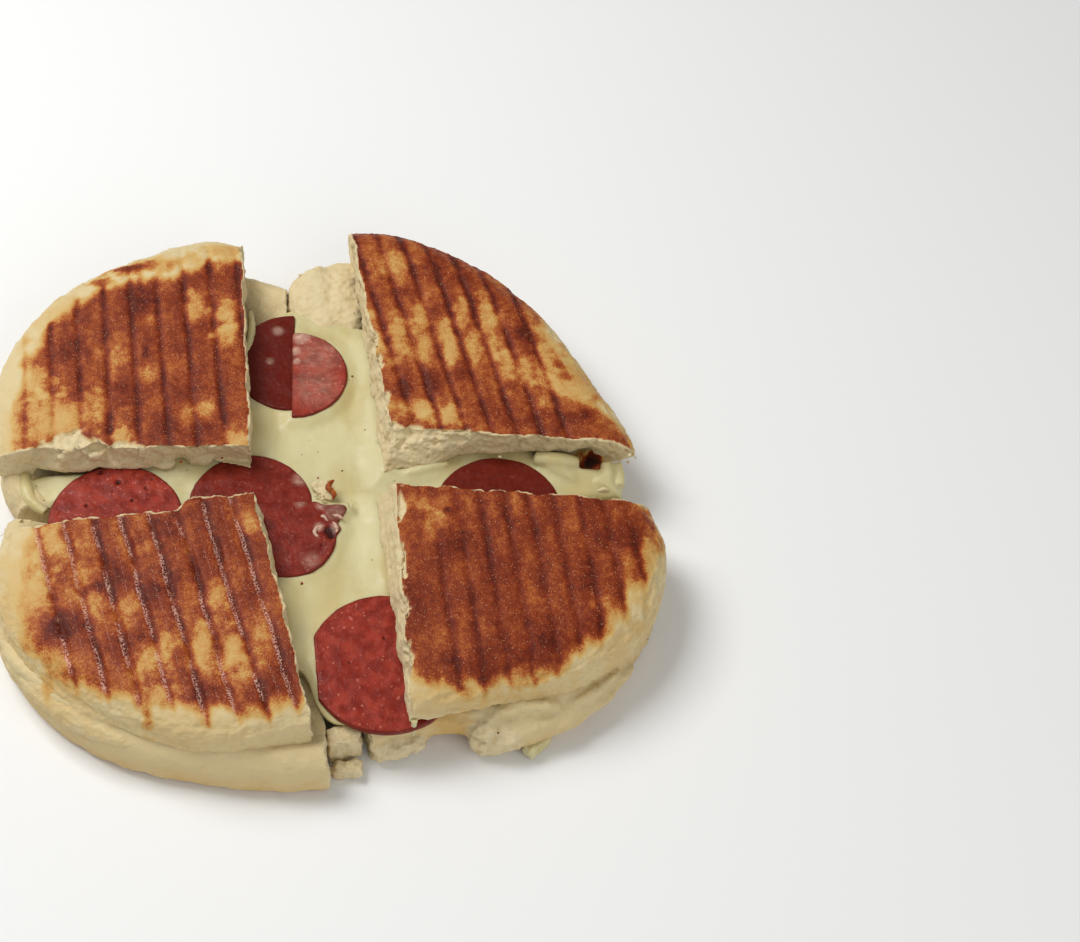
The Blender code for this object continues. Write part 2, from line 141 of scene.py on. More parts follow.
class Grain:
    """Repeatable noise over points in millimetres."""

    TABLE = 256
    GAIN = 1.6
    LAYER_SHIFT = 31.7
    PORE = (0.5, 0.2)
    PORE_FADE = 0.15

    def __init__(self, seed: int) -> None:
        """Draw the tables of one kind of noise.

        Args:
            seed: Number of the noise; the same seed gives the same noise.
        """
        draw = np.random.default_rng(seed)
        self.order = draw.permutation(self.TABLE)
        slopes = draw.normal(size=(self.TABLE, 3))
        self.slopes = slopes / np.linalg.norm(slopes, axis=1)[:, None]
        self.spots = draw.random((self.TABLE, 3))

    def _pick(self, cell: np.ndarray) -> np.ndarray:
        """Return the table row of each lattice cell."""
        order, last = self.order, self.TABLE - 1
        return order[(order[(order[cell[..., 0] & last] + cell[..., 1]) & last] + cell[..., 2]) & last]

    def smooth(self, points: np.ndarray, size: float) -> np.ndarray:
        """Return soft noise.

        Args:
            points: Positions, one row each.
            size: Length of one swell in millimetres.

        Returns:
            Values around 0, mostly from -0.7 to 0.7.
        """
        scaled = np.asarray(points, float) / size
        cell = np.floor(scaled).astype(np.int64)
        part = scaled - cell
        ease = part * part * part * (part * (part * 6 - 15) + 10)
        total = np.zeros(len(scaled))
        for corner in np.ndindex(2, 2, 2):
            step = np.array(corner)
            weight = np.prod(np.where(step, ease, 1 - ease), axis=1)
            total += weight * np.einsum("ij,ij->i", self.slopes[self._pick(cell + step)], part - step)
        return self.GAIN * total

    def relief(self, points: np.ndarray, *swells: Swell) -> np.ndarray:
        """Add up swells, each with its finer layers on top.

        Args:
            points: Positions, one row each.
            swells: What is added.

        Returns:
            Values around 0, mostly within each swell's amount.
        """
        total = np.zeros(len(points))
        for swell in swells:
            for layer in range(swell.layers):
                strength = swell.amount * swell.fall**layer
                total += strength * self.smooth(points + self.LAYER_SHIFT * layer, swell.size / 2**layer)
        return total

    def bubbles(self, points: np.ndarray, size: float) -> tuple[np.ndarray, np.ndarray]:
        """Return the distance to the nearest of many scattered spots.

        Args:
            points: Positions, one row each.
            size: Mean distance between spots in millimetres.

        Returns:
            Distance to the nearest spot as a share of size, and a number from 0 to 1 that
            is the same wherever that spot is the nearest.
        """
        scaled = np.asarray(points, float) / size
        cell = np.floor(scaled).astype(np.int64)
        nearest = np.full(len(scaled), np.inf)
        mark = np.zeros(len(scaled))
        for corner in np.ndindex(3, 3, 3):
            home = cell + np.array(corner) - 1
            row = self._pick(home)
            gap = np.linalg.norm(home + self.spots[row] - scaled, axis=1)
            mark = np.where(gap < nearest, row / self.TABLE, mark)
            nearest = np.minimum(nearest, gap)
        return nearest, mark

    def pores(self, points: np.ndarray, size: float, empty: float) -> np.ndarray:
        """Return how deep in a pore points are.

        Args:
            points: Positions, one row each.
            size: Mean distance between spots in millimetres.
            empty: Share of the spots that have no pore.

        Returns:
            Values from 0 on the crumb to 1 in a pore.
        """
        gap, mark = self.bubbles(points, size)
        return smooth_step(*self.PORE, gap) * smooth_step(empty, empty + self.PORE_FADE, mark)


@dataclass
class Sheet:
    """A grid of points, as one side of a closed form."""

    points: np.ndarray

    def faces(self, first: int) -> np.ndarray:
        """Return the grid's quads, for points numbered from first."""
        rows, columns = self.points.shape[:2]
        number = first + np.arange(rows * columns).reshape(rows, columns)
        quads = (number[:-1, :-1], number[1:, :-1], number[1:, 1:], number[:-1, 1:])
        return np.stack(quads, axis=-1).reshape(-1, 4)


def ball(
    middle: Triple, half_sizes: Triple, turn: float = 0.0, steps: int = 24, square: float = 0.0,
) -> Sheet:
    """Return a closed ball, stretched to its half sizes.

    Args:
        middle: The middle in millimetres.
        half_sizes: Half of its size along its own X, Y and Z.
        turn: Turn about Z in degrees.
        steps: Steps round it.
        square: How far it is drawn out towards a block, from 0 to 1.

    Returns:
        The ball's surface as one sheet.
    """
    round_it = np.linspace(0, 2 * np.pi, steps + 1)
    down = np.linspace(0, np.pi, steps // 2 + 1)
    axes = [np.outer(np.sin(down), np.cos(round_it)), np.outer(np.sin(down), np.sin(round_it))]
    unit = np.stack(axes + [np.outer(np.cos(down), np.ones_like(round_it))], axis=-1)
    sized = unit / np.abs(unit).max(axis=-1, keepdims=True) ** square * np.array(half_sizes)
    return Sheet(sized @ spin(turn) + np.array(middle))


def tube(path: np.ndarray, radii: np.ndarray, steps: int = 12) -> Sheet:
    """Return a closed round strand along a path.

    Args:
        path: Points that the strand follows, one row each.
        radii: Its radius at each of them.
        steps: Steps round it.

    Returns:
        The strand's surface as one sheet.
    """
    ahead = np.gradient(path, axis=0)
    ahead /= np.linalg.norm(ahead, axis=1)[:, None]
    side = np.cross(ahead, (0.0, 0.0, 1.0))
    side /= np.maximum(np.linalg.norm(side, axis=1), 1e-6)[:, None]
    over = np.cross(side, ahead)
    turn = np.linspace(0, 2 * np.pi, steps + 1)
    ring = side[:, None, :] * np.cos(turn)[:, None] + over[:, None, :] * np.sin(turn)[:, None]
    grid = path[:, None, :] + ring * np.asarray(radii)[:, None, None]
    ends = [np.repeat(path[k][None, None, :], steps + 1, axis=1) for k in (0, -1)]
    return Sheet(np.concatenate([ends[0], grid, ends[1]]))


class Form:
    """A mesh in millimetres whose points can be moved and marked before it is set down."""

    def __init__(self, name: str, sheets: Sequence[Sheet], voxel: float = 0.0) -> None:
        """Join the sheets into one mesh.

        Args:
            name: Name of the piece.
            sheets: The sides of the form.
            voxel: Where above 0, the form is made anew as one even skin of this step.
        """
        self.name = name
        points, faces, first = [], [], 0
        for sheet in sheets:
            faces.append(sheet.faces(first))
            points.append(sheet.points.reshape(-1, 3))
            first += len(points[-1])
        self.mesh = bpy.data.meshes.new(name)
        self.mesh.from_pydata(np.concatenate(points).tolist(), [], np.concatenate(faces).tolist())
        self.mesh.update()
        if voxel:
            self._make_even(voxel)
        self.marks: dict[str, np.ndarray] = {}

    def _make_even(self, voxel: float) -> None:
        """Replace the mesh by one even skin over all that it holds.

        Args:
            voxel: The skin's step in millimetres.
        """
        raw = bpy.data.objects.new(self.name + "_raw", self.mesh)
        bpy.context.scene.collection.objects.link(raw)
        even = raw.modifiers.new("even", "REMESH")
        even.mode = "VOXEL"
        even.voxel_size = voxel
        even.adaptivity = 0.0
        graph = bpy.context.evaluated_depsgraph_get()
        skin = bpy.data.meshes.new_from_object(raw.evaluated_get(graph))
        bpy.data.objects.remove(raw, do_unlink=True)
        bpy.data.meshes.remove(self.mesh)
        self.mesh = skin
        self.mesh.name = self.name

    def _read(self, name: str) -> np.ndarray:
        """Return one vector for each point."""
        flat = np.empty(len(self.mesh.vertices) * 3, np.float32)
        self.mesh.vertices.foreach_get(name, flat)
        return flat.reshape(-1, 3).astype(float)

    @property
    def points(self) -> np.ndarray:
        """The points' positions, one row each."""
        return self._read("co")

    @points.setter
    def points(self, places: np.ndarray) -> None:
        """Move the points."""
        self.mesh.vertices.foreach_set("co", places.astype(np.float32).ravel())
        self.mesh.update()

    @property
    def normals(self) -> np.ndarray:
        """The directions that the skin faces at the points."""
        return self._read("normal")

    def relax(self, rounds: int) -> None:
        """Round off the form by moving points halfway to their neighbours' mean.

        Args:
            rounds: How many times.
        """
        ends = np.empty(len(self.mesh.edges) * 2, np.int32)
        self.mesh.edges.foreach_get("vertices", ends)
        a, b = ends[0::2], ends[1::2]
        count = len(self.mesh.vertices)
        links = np.maximum(np.bincount(a, minlength=count) + np.bincount(b, minlength=count), 1)
        places = self.points
        for _ in range(rounds):
            for column in places.T:
                near = np.bincount(a, column[b], count) + np.bincount(b, column[a], count)
                column += 0.5 * (near / links - column)
        self.points = places

    def push(self, lengths: np.ndarray) -> None:
        """Move the points along their normals by lengths."""
        self.points = self.points + self.normals * lengths[:, None]

    def carry(self, **marks: np.ndarray | float) -> None:
        """Mark the points for the finish, with one number or with one for each point."""
        for name, values in marks.items():
            self.marks[name] = np.full(len(self.mesh.vertices), values, np.float32)

    def set_down(self, finish: Material, slot: Slot, *nodes: str) -> None:
        """Put the form into the frame as a piece.

        Args:
            finish: The piece's material.
            slot: The record's slot that it takes its finish from; not used.
            nodes: The solids that it stands for.
        """
        places = self.points - (*FOOTPRINT_MIDDLE, 0.0)
        places[:, 2] = np.maximum(places[:, 2], 0.0)
        self.points = places * MM
        for name, values in self.marks.items():
            self.mesh.attributes.new(name, "FLOAT", "POINT").data.foreach_set("value", values)
        self.mesh.materials.clear()
        self.mesh.materials.append(finish)
        self.mesh.polygons.foreach_set("material_index", np.zeros(len(self.mesh.polygons), np.int32))
        self.mesh.shade_smooth()
        piece = bpy.data.objects.new(self.name, self.mesh)
        bpy.context.scene.collection.objects.link(piece)
        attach(piece, BODY)
        if nodes:
            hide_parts(*nodes)
        LOG.info("%s: %d points", self.name, len(self.mesh.vertices))


@dataclass(frozen=True)
class PhotoView:
    """The camera at the photograph's viewing angle."""

    frame_px: tuple[int, int] = (1080, 942)
    elevation: float = 56.0
    distance: float = 0.640
    focal_px: float = 1950.0
    middle_px: tuple[float, float] = (332.0, 497.0)
    aim: Triple = (0.00385, -0.00334, 0.015)
    sensor: float = 36.0

    def _axes(self) -> tuple[np.ndarray, np.ndarray, np.ndarray]:
        """Return the eye in metres, the direction it looks in, and its up direction."""
        level, rise = heading(self.elevation)
        back = np.array([0.0, -level, rise])
        return np.array(self.aim) + self.distance * back, -back, np.array([0.0, rise, level])

    def spot(self, across_px: float, down_px: float, height: float) -> Triple:
        """Find where a pixel of the photograph lies on a level plane.

        Args:
            across_px: Pixels from the frame's left edge.
            down_px: Pixels from its top edge.
            height: Height of the plane in millimetres.

        Returns:
            The place in millimetres from the middle of the bread.
        """
        eye, ahead, up = self._axes()
        ray = ahead * self.focal_px - up * (down_px - self.middle_px[1])
        ray[0] += across_px - self.middle_px[0]
        place = (eye + ray * (height * MM - eye[2]) / ray[2]) / MM
        return place[0] + FOOTPRINT_MIDDLE[0], place[1] + FOOTPRINT_MIDDLE[1], height

    def off(self, at: np.ndarray, across_px: float, down_px: float, height: float = CHEESE_TOP) -> np.ndarray:
        """Return how far points lie in plan from a pixel's place at a height."""
        return at[:, :2] - self.spot(across_px, down_px, height)[:2]

    def size(self, across_px: float, down_px: float) -> np.ndarray:
        """Return the size in plan of what covers a number of pixels of the level bread."""
        size_px = np.array([across_px, down_px / heading(self.elevation)[1]])
        return size_px * self.distance / MM / self.focal_px

    def place(self) -> None:
        """Set the camera up."""
        eye, ahead, _ = self._axes()
        lens = bpy.data.cameras.new("photo_view")
        lens.sensor_width = self.sensor
        lens.lens = self.focal_px * self.sensor / self.frame_px[0]
        lens.shift_x = (0.5 * self.frame_px[0] - self.middle_px[0]) / self.frame_px[0]
        lens.shift_y = (self.middle_px[1] - 0.5 * self.frame_px[1]) / self.frame_px[0]
        lens.clip_start, lens.clip_end = 0.01, 20.0
        camera = bpy.data.objects.new("photo_view", lens)
        camera.location = Vector(eye)
        camera.rotation_euler = Vector(ahead).to_track_quat("-Z", "Y").to_euler()
        bpy.context.scene.collection.objects.link(camera)
        bpy.context.scene.camera = camera


VIEW = PhotoView()


def tint(red: int, green: int, blue: int) -> tuple[float, float, float, float]:
    """Return a shader colour for a colour given from 0 to 255."""
    shares = (channel / 255 for channel in (red, green, blue))
    linear = (c / 12.92 if c <= 0.04045 else ((c + 0.055) / 1.055) ** 2.4 for c in shares)
    return (*linear, 1.0)


class Shader:
    """A material's node tree, built step by step in millimetres."""

    def __init__(self, name: str, constants: dict[str, object]) -> None:
        """Start a material.

        Args:
            name: Name of the material.
            constants: The surface's inputs that are the same all over it.
        """
        self.material = bpy.data.materials.new(name)
        self.material.use_nodes = True
        self.tree = self.material.node_tree
        self.surface = self.tree.nodes["Principled BSDF"]
        for key, value in constants.items():
            self.set(key, value)
        place = self.add("TexCoord", {}).outputs["Object"]
        self.place = self.add("VectorMath", {0: place, "Scale": 1.0 / MM}, operation="SCALE").outputs[0]

    def add(self, kind: str, inputs: dict[str | int, object], **settings: str) -> bpy.types.Node:
        """Add a node.

        Args:
            kind: Its type, without the words that each shader node's type starts with.
            inputs: What its inputs are fed, by their name or number.
            settings: The node's own options.

        Returns:
            The node.
        """
        node = self.tree.nodes.new("ShaderNode" + kind)
        for name, value in settings.items():
            setattr(node, name, value)
        for key, value in inputs.items():
            self.feed(node.inputs[key], value)
        return node

    def feed(self, target: Socket, value: object) -> None:
        """Link a socket to a socket, or set a plain value on it.

        Args:
            target: The socket that is fed.
            value: Another node's output, or the value.
        """
        if isinstance(value, Socket):
            self.tree.links.new(value, target)
        else:
            target.default_value = value

    def set(self, name: str, value: object) -> None:
        """Feed one input of the surface."""
        self.feed(self.surface.inputs[name], value)

    def mark(self, name: str) -> Socket:
        """Return the values that the piece carries under a name."""
        return self.add("Attribute", {}, attribute_name=name).outputs["Fac"]

    def maths(self, operation: str, *values: object) -> Socket:
        """Return the result of one Math node."""
        return self.add("Math", dict(enumerate(values)), operation=operation).outputs[0]

    def product(self, first: Socket, *others: object) -> Socket:
        """Return the product of values."""
        for other in others:
            first = self.maths("MULTIPLY", first, other)
        return first

    def noise(self, size: float, detail: float = 2.0, stretch: Triple | None = None) -> Socket:
        """Return soft noise from 0 to 1.

        Args:
            size: Length of one swell in millimetres.
            detail: How many finer layers it has.
            stretch: How much longer it is along X, Y and Z.

        Returns:
            The noise.
        """
        place = self.place
        if stretch:
            place = self.add("VectorMath", {0: place, 1: stretch}, operation="DIVIDE").outputs[0]
        return self.add("TexNoise", {"Vector": place, "Scale": 1.0 / size, "Detail": detail}).outputs["Fac"]

    def cells(self, size: float) -> Socket:
        """Return the distance to scattered spots of a mean spacing in millimetres."""
        return self.add("TexVoronoi", {"Vector": self.place, "Scale": 1.0 / size}).outputs["Distance"]

    def span(self, value: Socket, low: float, high: float, to: tuple[float, float] = (0.0, 1.0)) -> Socket:
        """Map a value smoothly from a span onto another and clamp it.

        Args:
            value: The value to map.
            low: Start of its span.
            high: End of its span.
            to: What the two become.

        Returns:
            The mapped value.
        """
        inputs = {"Value": value, "From Min": low, "From Max": high, "To Min": to[0], "To Max": to[1]}
        return self.add("MapRange", inputs, interpolation_type="SMOOTHSTEP").outputs["Result"]

    def ramp(self, value: Socket, stops: Sequence[tuple[float, tuple]]) -> Socket:
        """Return a colour for a value.

        Args:
            value: The value to read.
            stops: Places from 0 to 1, each with its colour.

        Returns:
            The colour.
        """
        node = self.add("ValToRGB", {"Fac": value})
        marks = node.color_ramp.elements
        while len(marks) < len(stops):
            marks.new(0.5)
        for mark, (place, colour) in zip(marks, stops):
            mark.position = place
            mark.color = colour
        return node.outputs["Color"]

    def mix(self, share: object, first: object, second: object) -> Socket:
        """Mix two colours.

        Args:
            share: How much of the second is used.
            first: The first colour.
            second: The second colour.

        Returns:
            The mixed colour.
        """
        return self.add("Mix", {0: share, 6: first, 7: second}, data_type="RGBA").outputs[2]

    def bump(self, height: Socket, depth: float) -> None:
        """Give the surface a fine relief.

        Args:
            height: The relief, from 0 to 1.
            depth: What 1 stands for, in millimetres.
        """
        node = self.add("Bump", {"Strength": 1.0, "Distance": depth * MM, "Height": height})
        self.set("Normal", node.outputs["Normal"])


@dataclass(frozen=True)
class BreadFinish:
    """Flatbread: pale dough that browns with the tone mark, and white crumb on cut faces.

    The crust carries painted glints as tiny bright specks and a painted highlight on the
    greasy streaks by the grooves, and the crumb's pores carry painted shade. Sizes are in
    millimetres, and lively is the span of tones that mottle and speckle.
    """

    dough: tuple = tint(214, 194, 147)
    yellow: tuple = tint(206, 170, 104)
    golden: tuple = tint(196, 142, 74)
    orange: tuple = tint(170, 90, 38)
    brown: tuple = tint(136, 56, 22)
    deep_brown: tuple = tint(110, 37, 12)
    scorched: tuple = tint(82, 24, 7)
    charred: tuple = tint(40, 13, 8)
    crumb: tuple = tint(218, 201, 160)
    deep_crumb: tuple = tint(204, 178, 130)
    # Painted glints: the colour of tiny bright specks that stand in for light sparkling on the crust
    grain: tuple = tint(236, 186, 134)
    # Painted highlight: the pinkish white of light glinting off the greasy streaks by the grooves
    oil: tuple = tint(232, 184, 166)
    lively: tuple[float, float, float, float] = (0.04, 0.4, 1.0, 1.15)
    charring: tuple[float, float] = (1.02, 1.2)
    mottle_size: float = 2.2
    mottle: tuple[float, float] = (-0.07, 0.07)
    speckle_size: float = 0.6
    speckle: tuple[float, float] = (-0.08, 0.07)
    glint_speck_size: float = 0.75
    glint_speck_edge: tuple[float, float] = (0.10, 0.26)
    glint_speck_strength: float = 0.6
    scatter_size: float = 1.6
    scatter: tuple[float, float] = (0.44, 0.60)
    crumb_cloud_size: float = 3.0
    crumb_clouds: tuple[float, float] = (0.46, 0.9)
    pore_shade_strength: float = 0.4
    roughness: tuple[float, float] = (0.5, 0.9)
    oil_offset: float = 0.85
    oil_width: float = 0.7
    oil_edge: tuple[float, float] = (0.5, 1.3)
    oil_break_size: float = 0.5
    oil_break: tuple[float, float] = (0.47, 0.56)
    oil_strength: float = 0.7
    oil_gloss: float = 0.25
    relief_sizes: tuple[float, float] = (0.8, 0.45)
    relief_depth: float = 0.16

    def _crust(self, look: Shader, wet: Socket) -> Socket:
        """Return the colour of the baked skin, with painted glints and painted highlights.

        Args:
            look: The material in the making.
            wet: 1 on the greasy streaks beside the grooves, where a highlight is painted into the colour.

        Returns:
            The colour.
        """
        tone = look.mark("tone")
        lively = look.product(
            look.span(tone, *self.lively[:2]), look.span(tone, *self.lively[2:], FALLING),
        )
        mottle = look.span(look.noise(self.mottle_size, 3.0), *MOST_NOISE, self.mottle)
        speckle = look.span(look.noise(self.speckle_size, 1.0), *MOST_NOISE, self.speckle)
        uneven = look.product(look.maths("ADD", mottle, speckle), lively)
        stops = (
            (0.0, self.dough), (0.14, self.yellow), (0.30, self.golden), (0.48, self.orange),
            (0.66, self.brown), (0.84, self.deep_brown), (1.0, self.scorched),
        )
        crust = look.ramp(look.maths("ADD", tone, uneven), stops)
        crust = look.mix(look.span(tone, *self.charring), crust, self.charred)
        # Tiny bright specks painted in as glints of light on the crust
        spots = look.span(look.cells(self.glint_speck_size), *self.glint_speck_edge, FALLING)
        scattered = look.span(look.noise(self.scatter_size, 1.0), *self.scatter)
        crust = look.mix(look.product(spots, scattered, lively, self.glint_speck_strength), crust, self.grain)
        # Paint the highlight of the greasy streaks into the colour
        return look.mix(look.product(wet, self.oil_strength), crust, self.oil)

    def _wet_glints(self, look: Shader) -> Socket:
        """Return 1 on the thin broken greasy streaks beside the grooves, which are glossy and carry a painted
        highlight.
        """
        beside = look.maths("ABSOLUTE", look.maths("ADD", look.mark("groove"), self.oil_offset))
        near, away = (edge * self.oil_width for edge in self.oil_edge)
        streak = look.span(beside, near, away, FALLING)
        broken = look.span(look.noise(self.oil_break_size, 2.0), *self.oil_break)
        return look.product(streak, broken, look.mark("oil"))

    def _inside(self, look: Shader) -> Socket:
        """Return the colour of the crumb, with painted shade in its pores."""
        clouds = look.span(look.noise(self.crumb_cloud_size, 3.0), *self.crumb_clouds)
        inside = look.mix(clouds, self.crumb, self.deep_crumb)
        # Darken the pores towards the deep crumb colour as painted shade
        return look.mix(look.product(look.mark("pore"), self.pore_shade_strength), inside, self.deep_crumb)

    def make(self) -> Material:
        """Build the material."""
        look = Shader("flatbread", {
            "Specular IOR Level": 0.18, "Subsurface Weight": 0.1, "Subsurface Radius": (1.0, 0.6, 0.3),
            "Subsurface Scale": 1.2 * MM,
        })
        wet, crumb = self._wet_glints(look), look.mark("crumb")
        look.set("Base Color", look.mix(crumb, self._crust(look, wet), self._inside(look)))
        rough = look.span(crumb, 0.0, 1.0, self.roughness)
        look.set("Roughness", look.maths("SUBTRACT", rough, look.product(wet, self.oil_gloss)))
        coarse, fine = self.relief_sizes
        look.bump(look.maths("ADD", look.noise(coarse, 1.0), look.noise(fine, 2.0)), self.relief_depth)
        return look.material


@dataclass(frozen=True)
class CheeseFinish:
    """Melted cheese: pale cream, soft inside and slightly wet."""

    pale: tuple = tint(208, 199, 153)
    warm: tuple = tint(198, 182, 128)
    cloud_size: float = 13.0
    cloud_stretch: Triple = (1.0, 2.2, 1.0)
    clouds: tuple[float, float] = (0.35, 0.7)
    gloss_size: float = 5.0
    roughness: tuple[float, float] = (0.32, 0.5)
    relief_size: float = 1.8
    relief_depth: float = 0.05

    def make(self) -> Material:
        """Build the material."""
        look = Shader("melted_cheese", {
            "Specular IOR Level": 0.28, "Subsurface Weight": 0.4, "Subsurface Radius": (1.0, 0.8, 0.45),
            "Subsurface Scale": 3.0 * MM,
        })
        cloud = look.span(look.noise(self.cloud_size, 3.0, self.cloud_stretch), *self.clouds)
        look.set("Base Color", look.mix(cloud, self.pale, self.warm))
        look.set("Roughness", look.span(look.noise(self.gloss_size, 2.0), *MOST_NOISE, self.roughness))
        look.bump(look.noise(self.relief_size, 3.0), self.relief_depth)
        return look.material


@dataclass(frozen=True)
class SausageFinish:
    """Cut sausage: red meat with pale specks of fat, a darker skin and a greasy gloss, with painted shade
    where shadows fall, in the pits and along the cut seams.
    """

    meat: tuple = tint(158, 56, 40)
    deep_meat: tuple = tint(122, 34, 22)
    fat: tuple = tint(204, 120, 100)
    skin: tuple = tint(96, 26, 16)
    # Painted shade: the meat where a cast shadow falls on it
    shaded: tuple = tint(90, 20, 8)
    # Painted shade: the dark of the holes pressed into the slices
    dark: tuple = tint(56, 14, 11)
    torn_fat: tuple = tint(226, 196, 172)
    meat_cloud_size: float = 4.0
    fleck_spacing: float = 1.9
    fleck_edge: tuple[float, float] = (0.08, 0.32)
    fleck_strength: float = 0.7
    scatter_size: float = 1.3
    scatter: tuple[float, float] = (0.45, 0.62)
    skin_strength: float = 0.6
    gloss_size: float = 1.6
    roughness: tuple[float, float] = (0.24, 0.52)
    relief_size: float = 0.8
    relief_depth: float = 0.12

    def make(self) -> Material:
        """Build the material."""
        look = Shader("sausage", {
            "Specular IOR Level": 0.17, "Subsurface Weight": 0.12, "Subsurface Radius": (1.0, 0.3, 0.2),
            "Subsurface Scale": 1.2 * MM,
        })
        clouds = look.span(look.noise(self.meat_cloud_size, 3.0), *MOST_NOISE)
        meat = look.mix(clouds, self.meat, self.deep_meat)
        flecks = look.span(look.cells(self.fleck_spacing), *self.fleck_edge, FALLING)
        scattered = look.span(look.noise(self.scatter_size, 2.0), *self.scatter)
        meat = look.mix(look.product(flecks, scattered, self.fleck_strength), meat, self.fat)
        # Painted shade of cast shadows and of the pits, and the pale torn fat, go into the meat
        for mark, colour in (("deep", self.shaded), ("pit", self.dark), ("torn", self.torn_fat)):
            meat = look.mix(look.mark(mark), meat, colour)
        # The skin mark also carries the painted shade along the cut seams
        skin = look.product(look.mark("skin"), self.skin_strength)
        look.set("Base Color", look.mix(skin, meat, self.skin))
        look.set("Roughness", look.span(look.noise(self.gloss_size, 2.0), *MOST_NOISE, self.roughness))
        look.bump(look.noise(self.relief_size, 3.0), self.relief_depth)
        return look.material


@dataclass(frozen=True)
class Patch:
    """A lighter or darker patch of the crust.

    across_px and down_px are where it lies in the photograph's 1080 by 942 frame, and
    half_width_px and half_height_px how large it is there. Tone is what it adds to the
    browning.
    """

    across_px: float
    down_px: float
    half_width_px: float
    half_height_px: float
    tone: float
    height: float = CRUST_HEIGHT

    FRAYED = Swell(0.7, 4.5, 3)
    FRAYED_LIMITS = (0.7, 1.6)
    STEEPNESS = 1.3

    def strength(self, at: np.ndarray, grain: Grain) -> np.ndarray:
        """Return what the patch adds at points of the crust.

        Args:
            at: Positions, one row each.
            grain: The noise that frays its edge.

        Returns:
            The tone added at each point.
        """
        off = VIEW.off(at, self.across_px, self.down_px, self.height)
        off = np.sum((off / VIEW.size(self.half_width_px, self.half_height_px)) ** 2, axis=1)
        off = off * np.clip(1.0 + grain.relief(at, self.FRAYED), *self.FRAYED_LIMITS) ** 2
        return self.tone * np.exp(-(off**self.STEEPNESS))


def patches(*rows: tuple[float, ...]) -> tuple[Patch, ...]:
    """Return patches for rows of place, half size and tone."""
    return tuple(Patch(*row) for row in rows)


@dataclass(frozen=True)
class Grooves:
    """Parallel grill grooves of one quarter: lean from +Y in degrees, the rest in millimetres."""

    lean: float
    pitch: float
    first: float
    count: int
    depth: float
    dark: float = 0.22
    # How much greasy gloss, with its painted highlight, the grooves carry
    oil: float = 0.0
    width: float = 1.25

    WAVER = Swell(0.45, 9.0, 1)
    WAVER_STRETCH = (0.5, 1.0, 0.5)

    def turned(self, points: np.ndarray) -> np.ndarray:
        """Return the points measured across, along and above the grooves."""
        return points @ spin(self.lean)

    def off(self, points: np.ndarray, grain: Grain) -> np.ndarray:
        """Measure points from the nearest groove.

        Args:
            points: Positions, one row each.
            grain: The noise that makes the grooves waver.

        Returns:
            How far each point lies to the side of a groove's middle.
        """
        turned = self.turned(points)
        waver = grain.relief(turned * self.WAVER_STRETCH, self.WAVER)
        place = (turned[:, 0] + waver - self.first) / self.pitch
        nearest = np.clip(np.round(place), 0, self.count - 1)
        return (place - nearest) * self.pitch


@dataclass(frozen=True)
class Draw:
    """A stretch of a cut edge that stands out, or is drawn in where the amount is below 0.

    Start and end are shares of the edge from the corner to the rim. The stretch is in the
    crust, or in the foot of the cut.
    """

    edge: int
    start: float
    end: float
    amount: float
    soft: float = 0.06
    foot: bool = False

    def along(self, part: np.ndarray) -> np.ndarray:
        """Return how far the edge moves at shares of its length."""
        rise = smooth_step(self.start - self.soft, self.start + self.soft, part)
        return self.amount * rise * smooth_step(self.end + self.soft, self.end - self.soft, part)


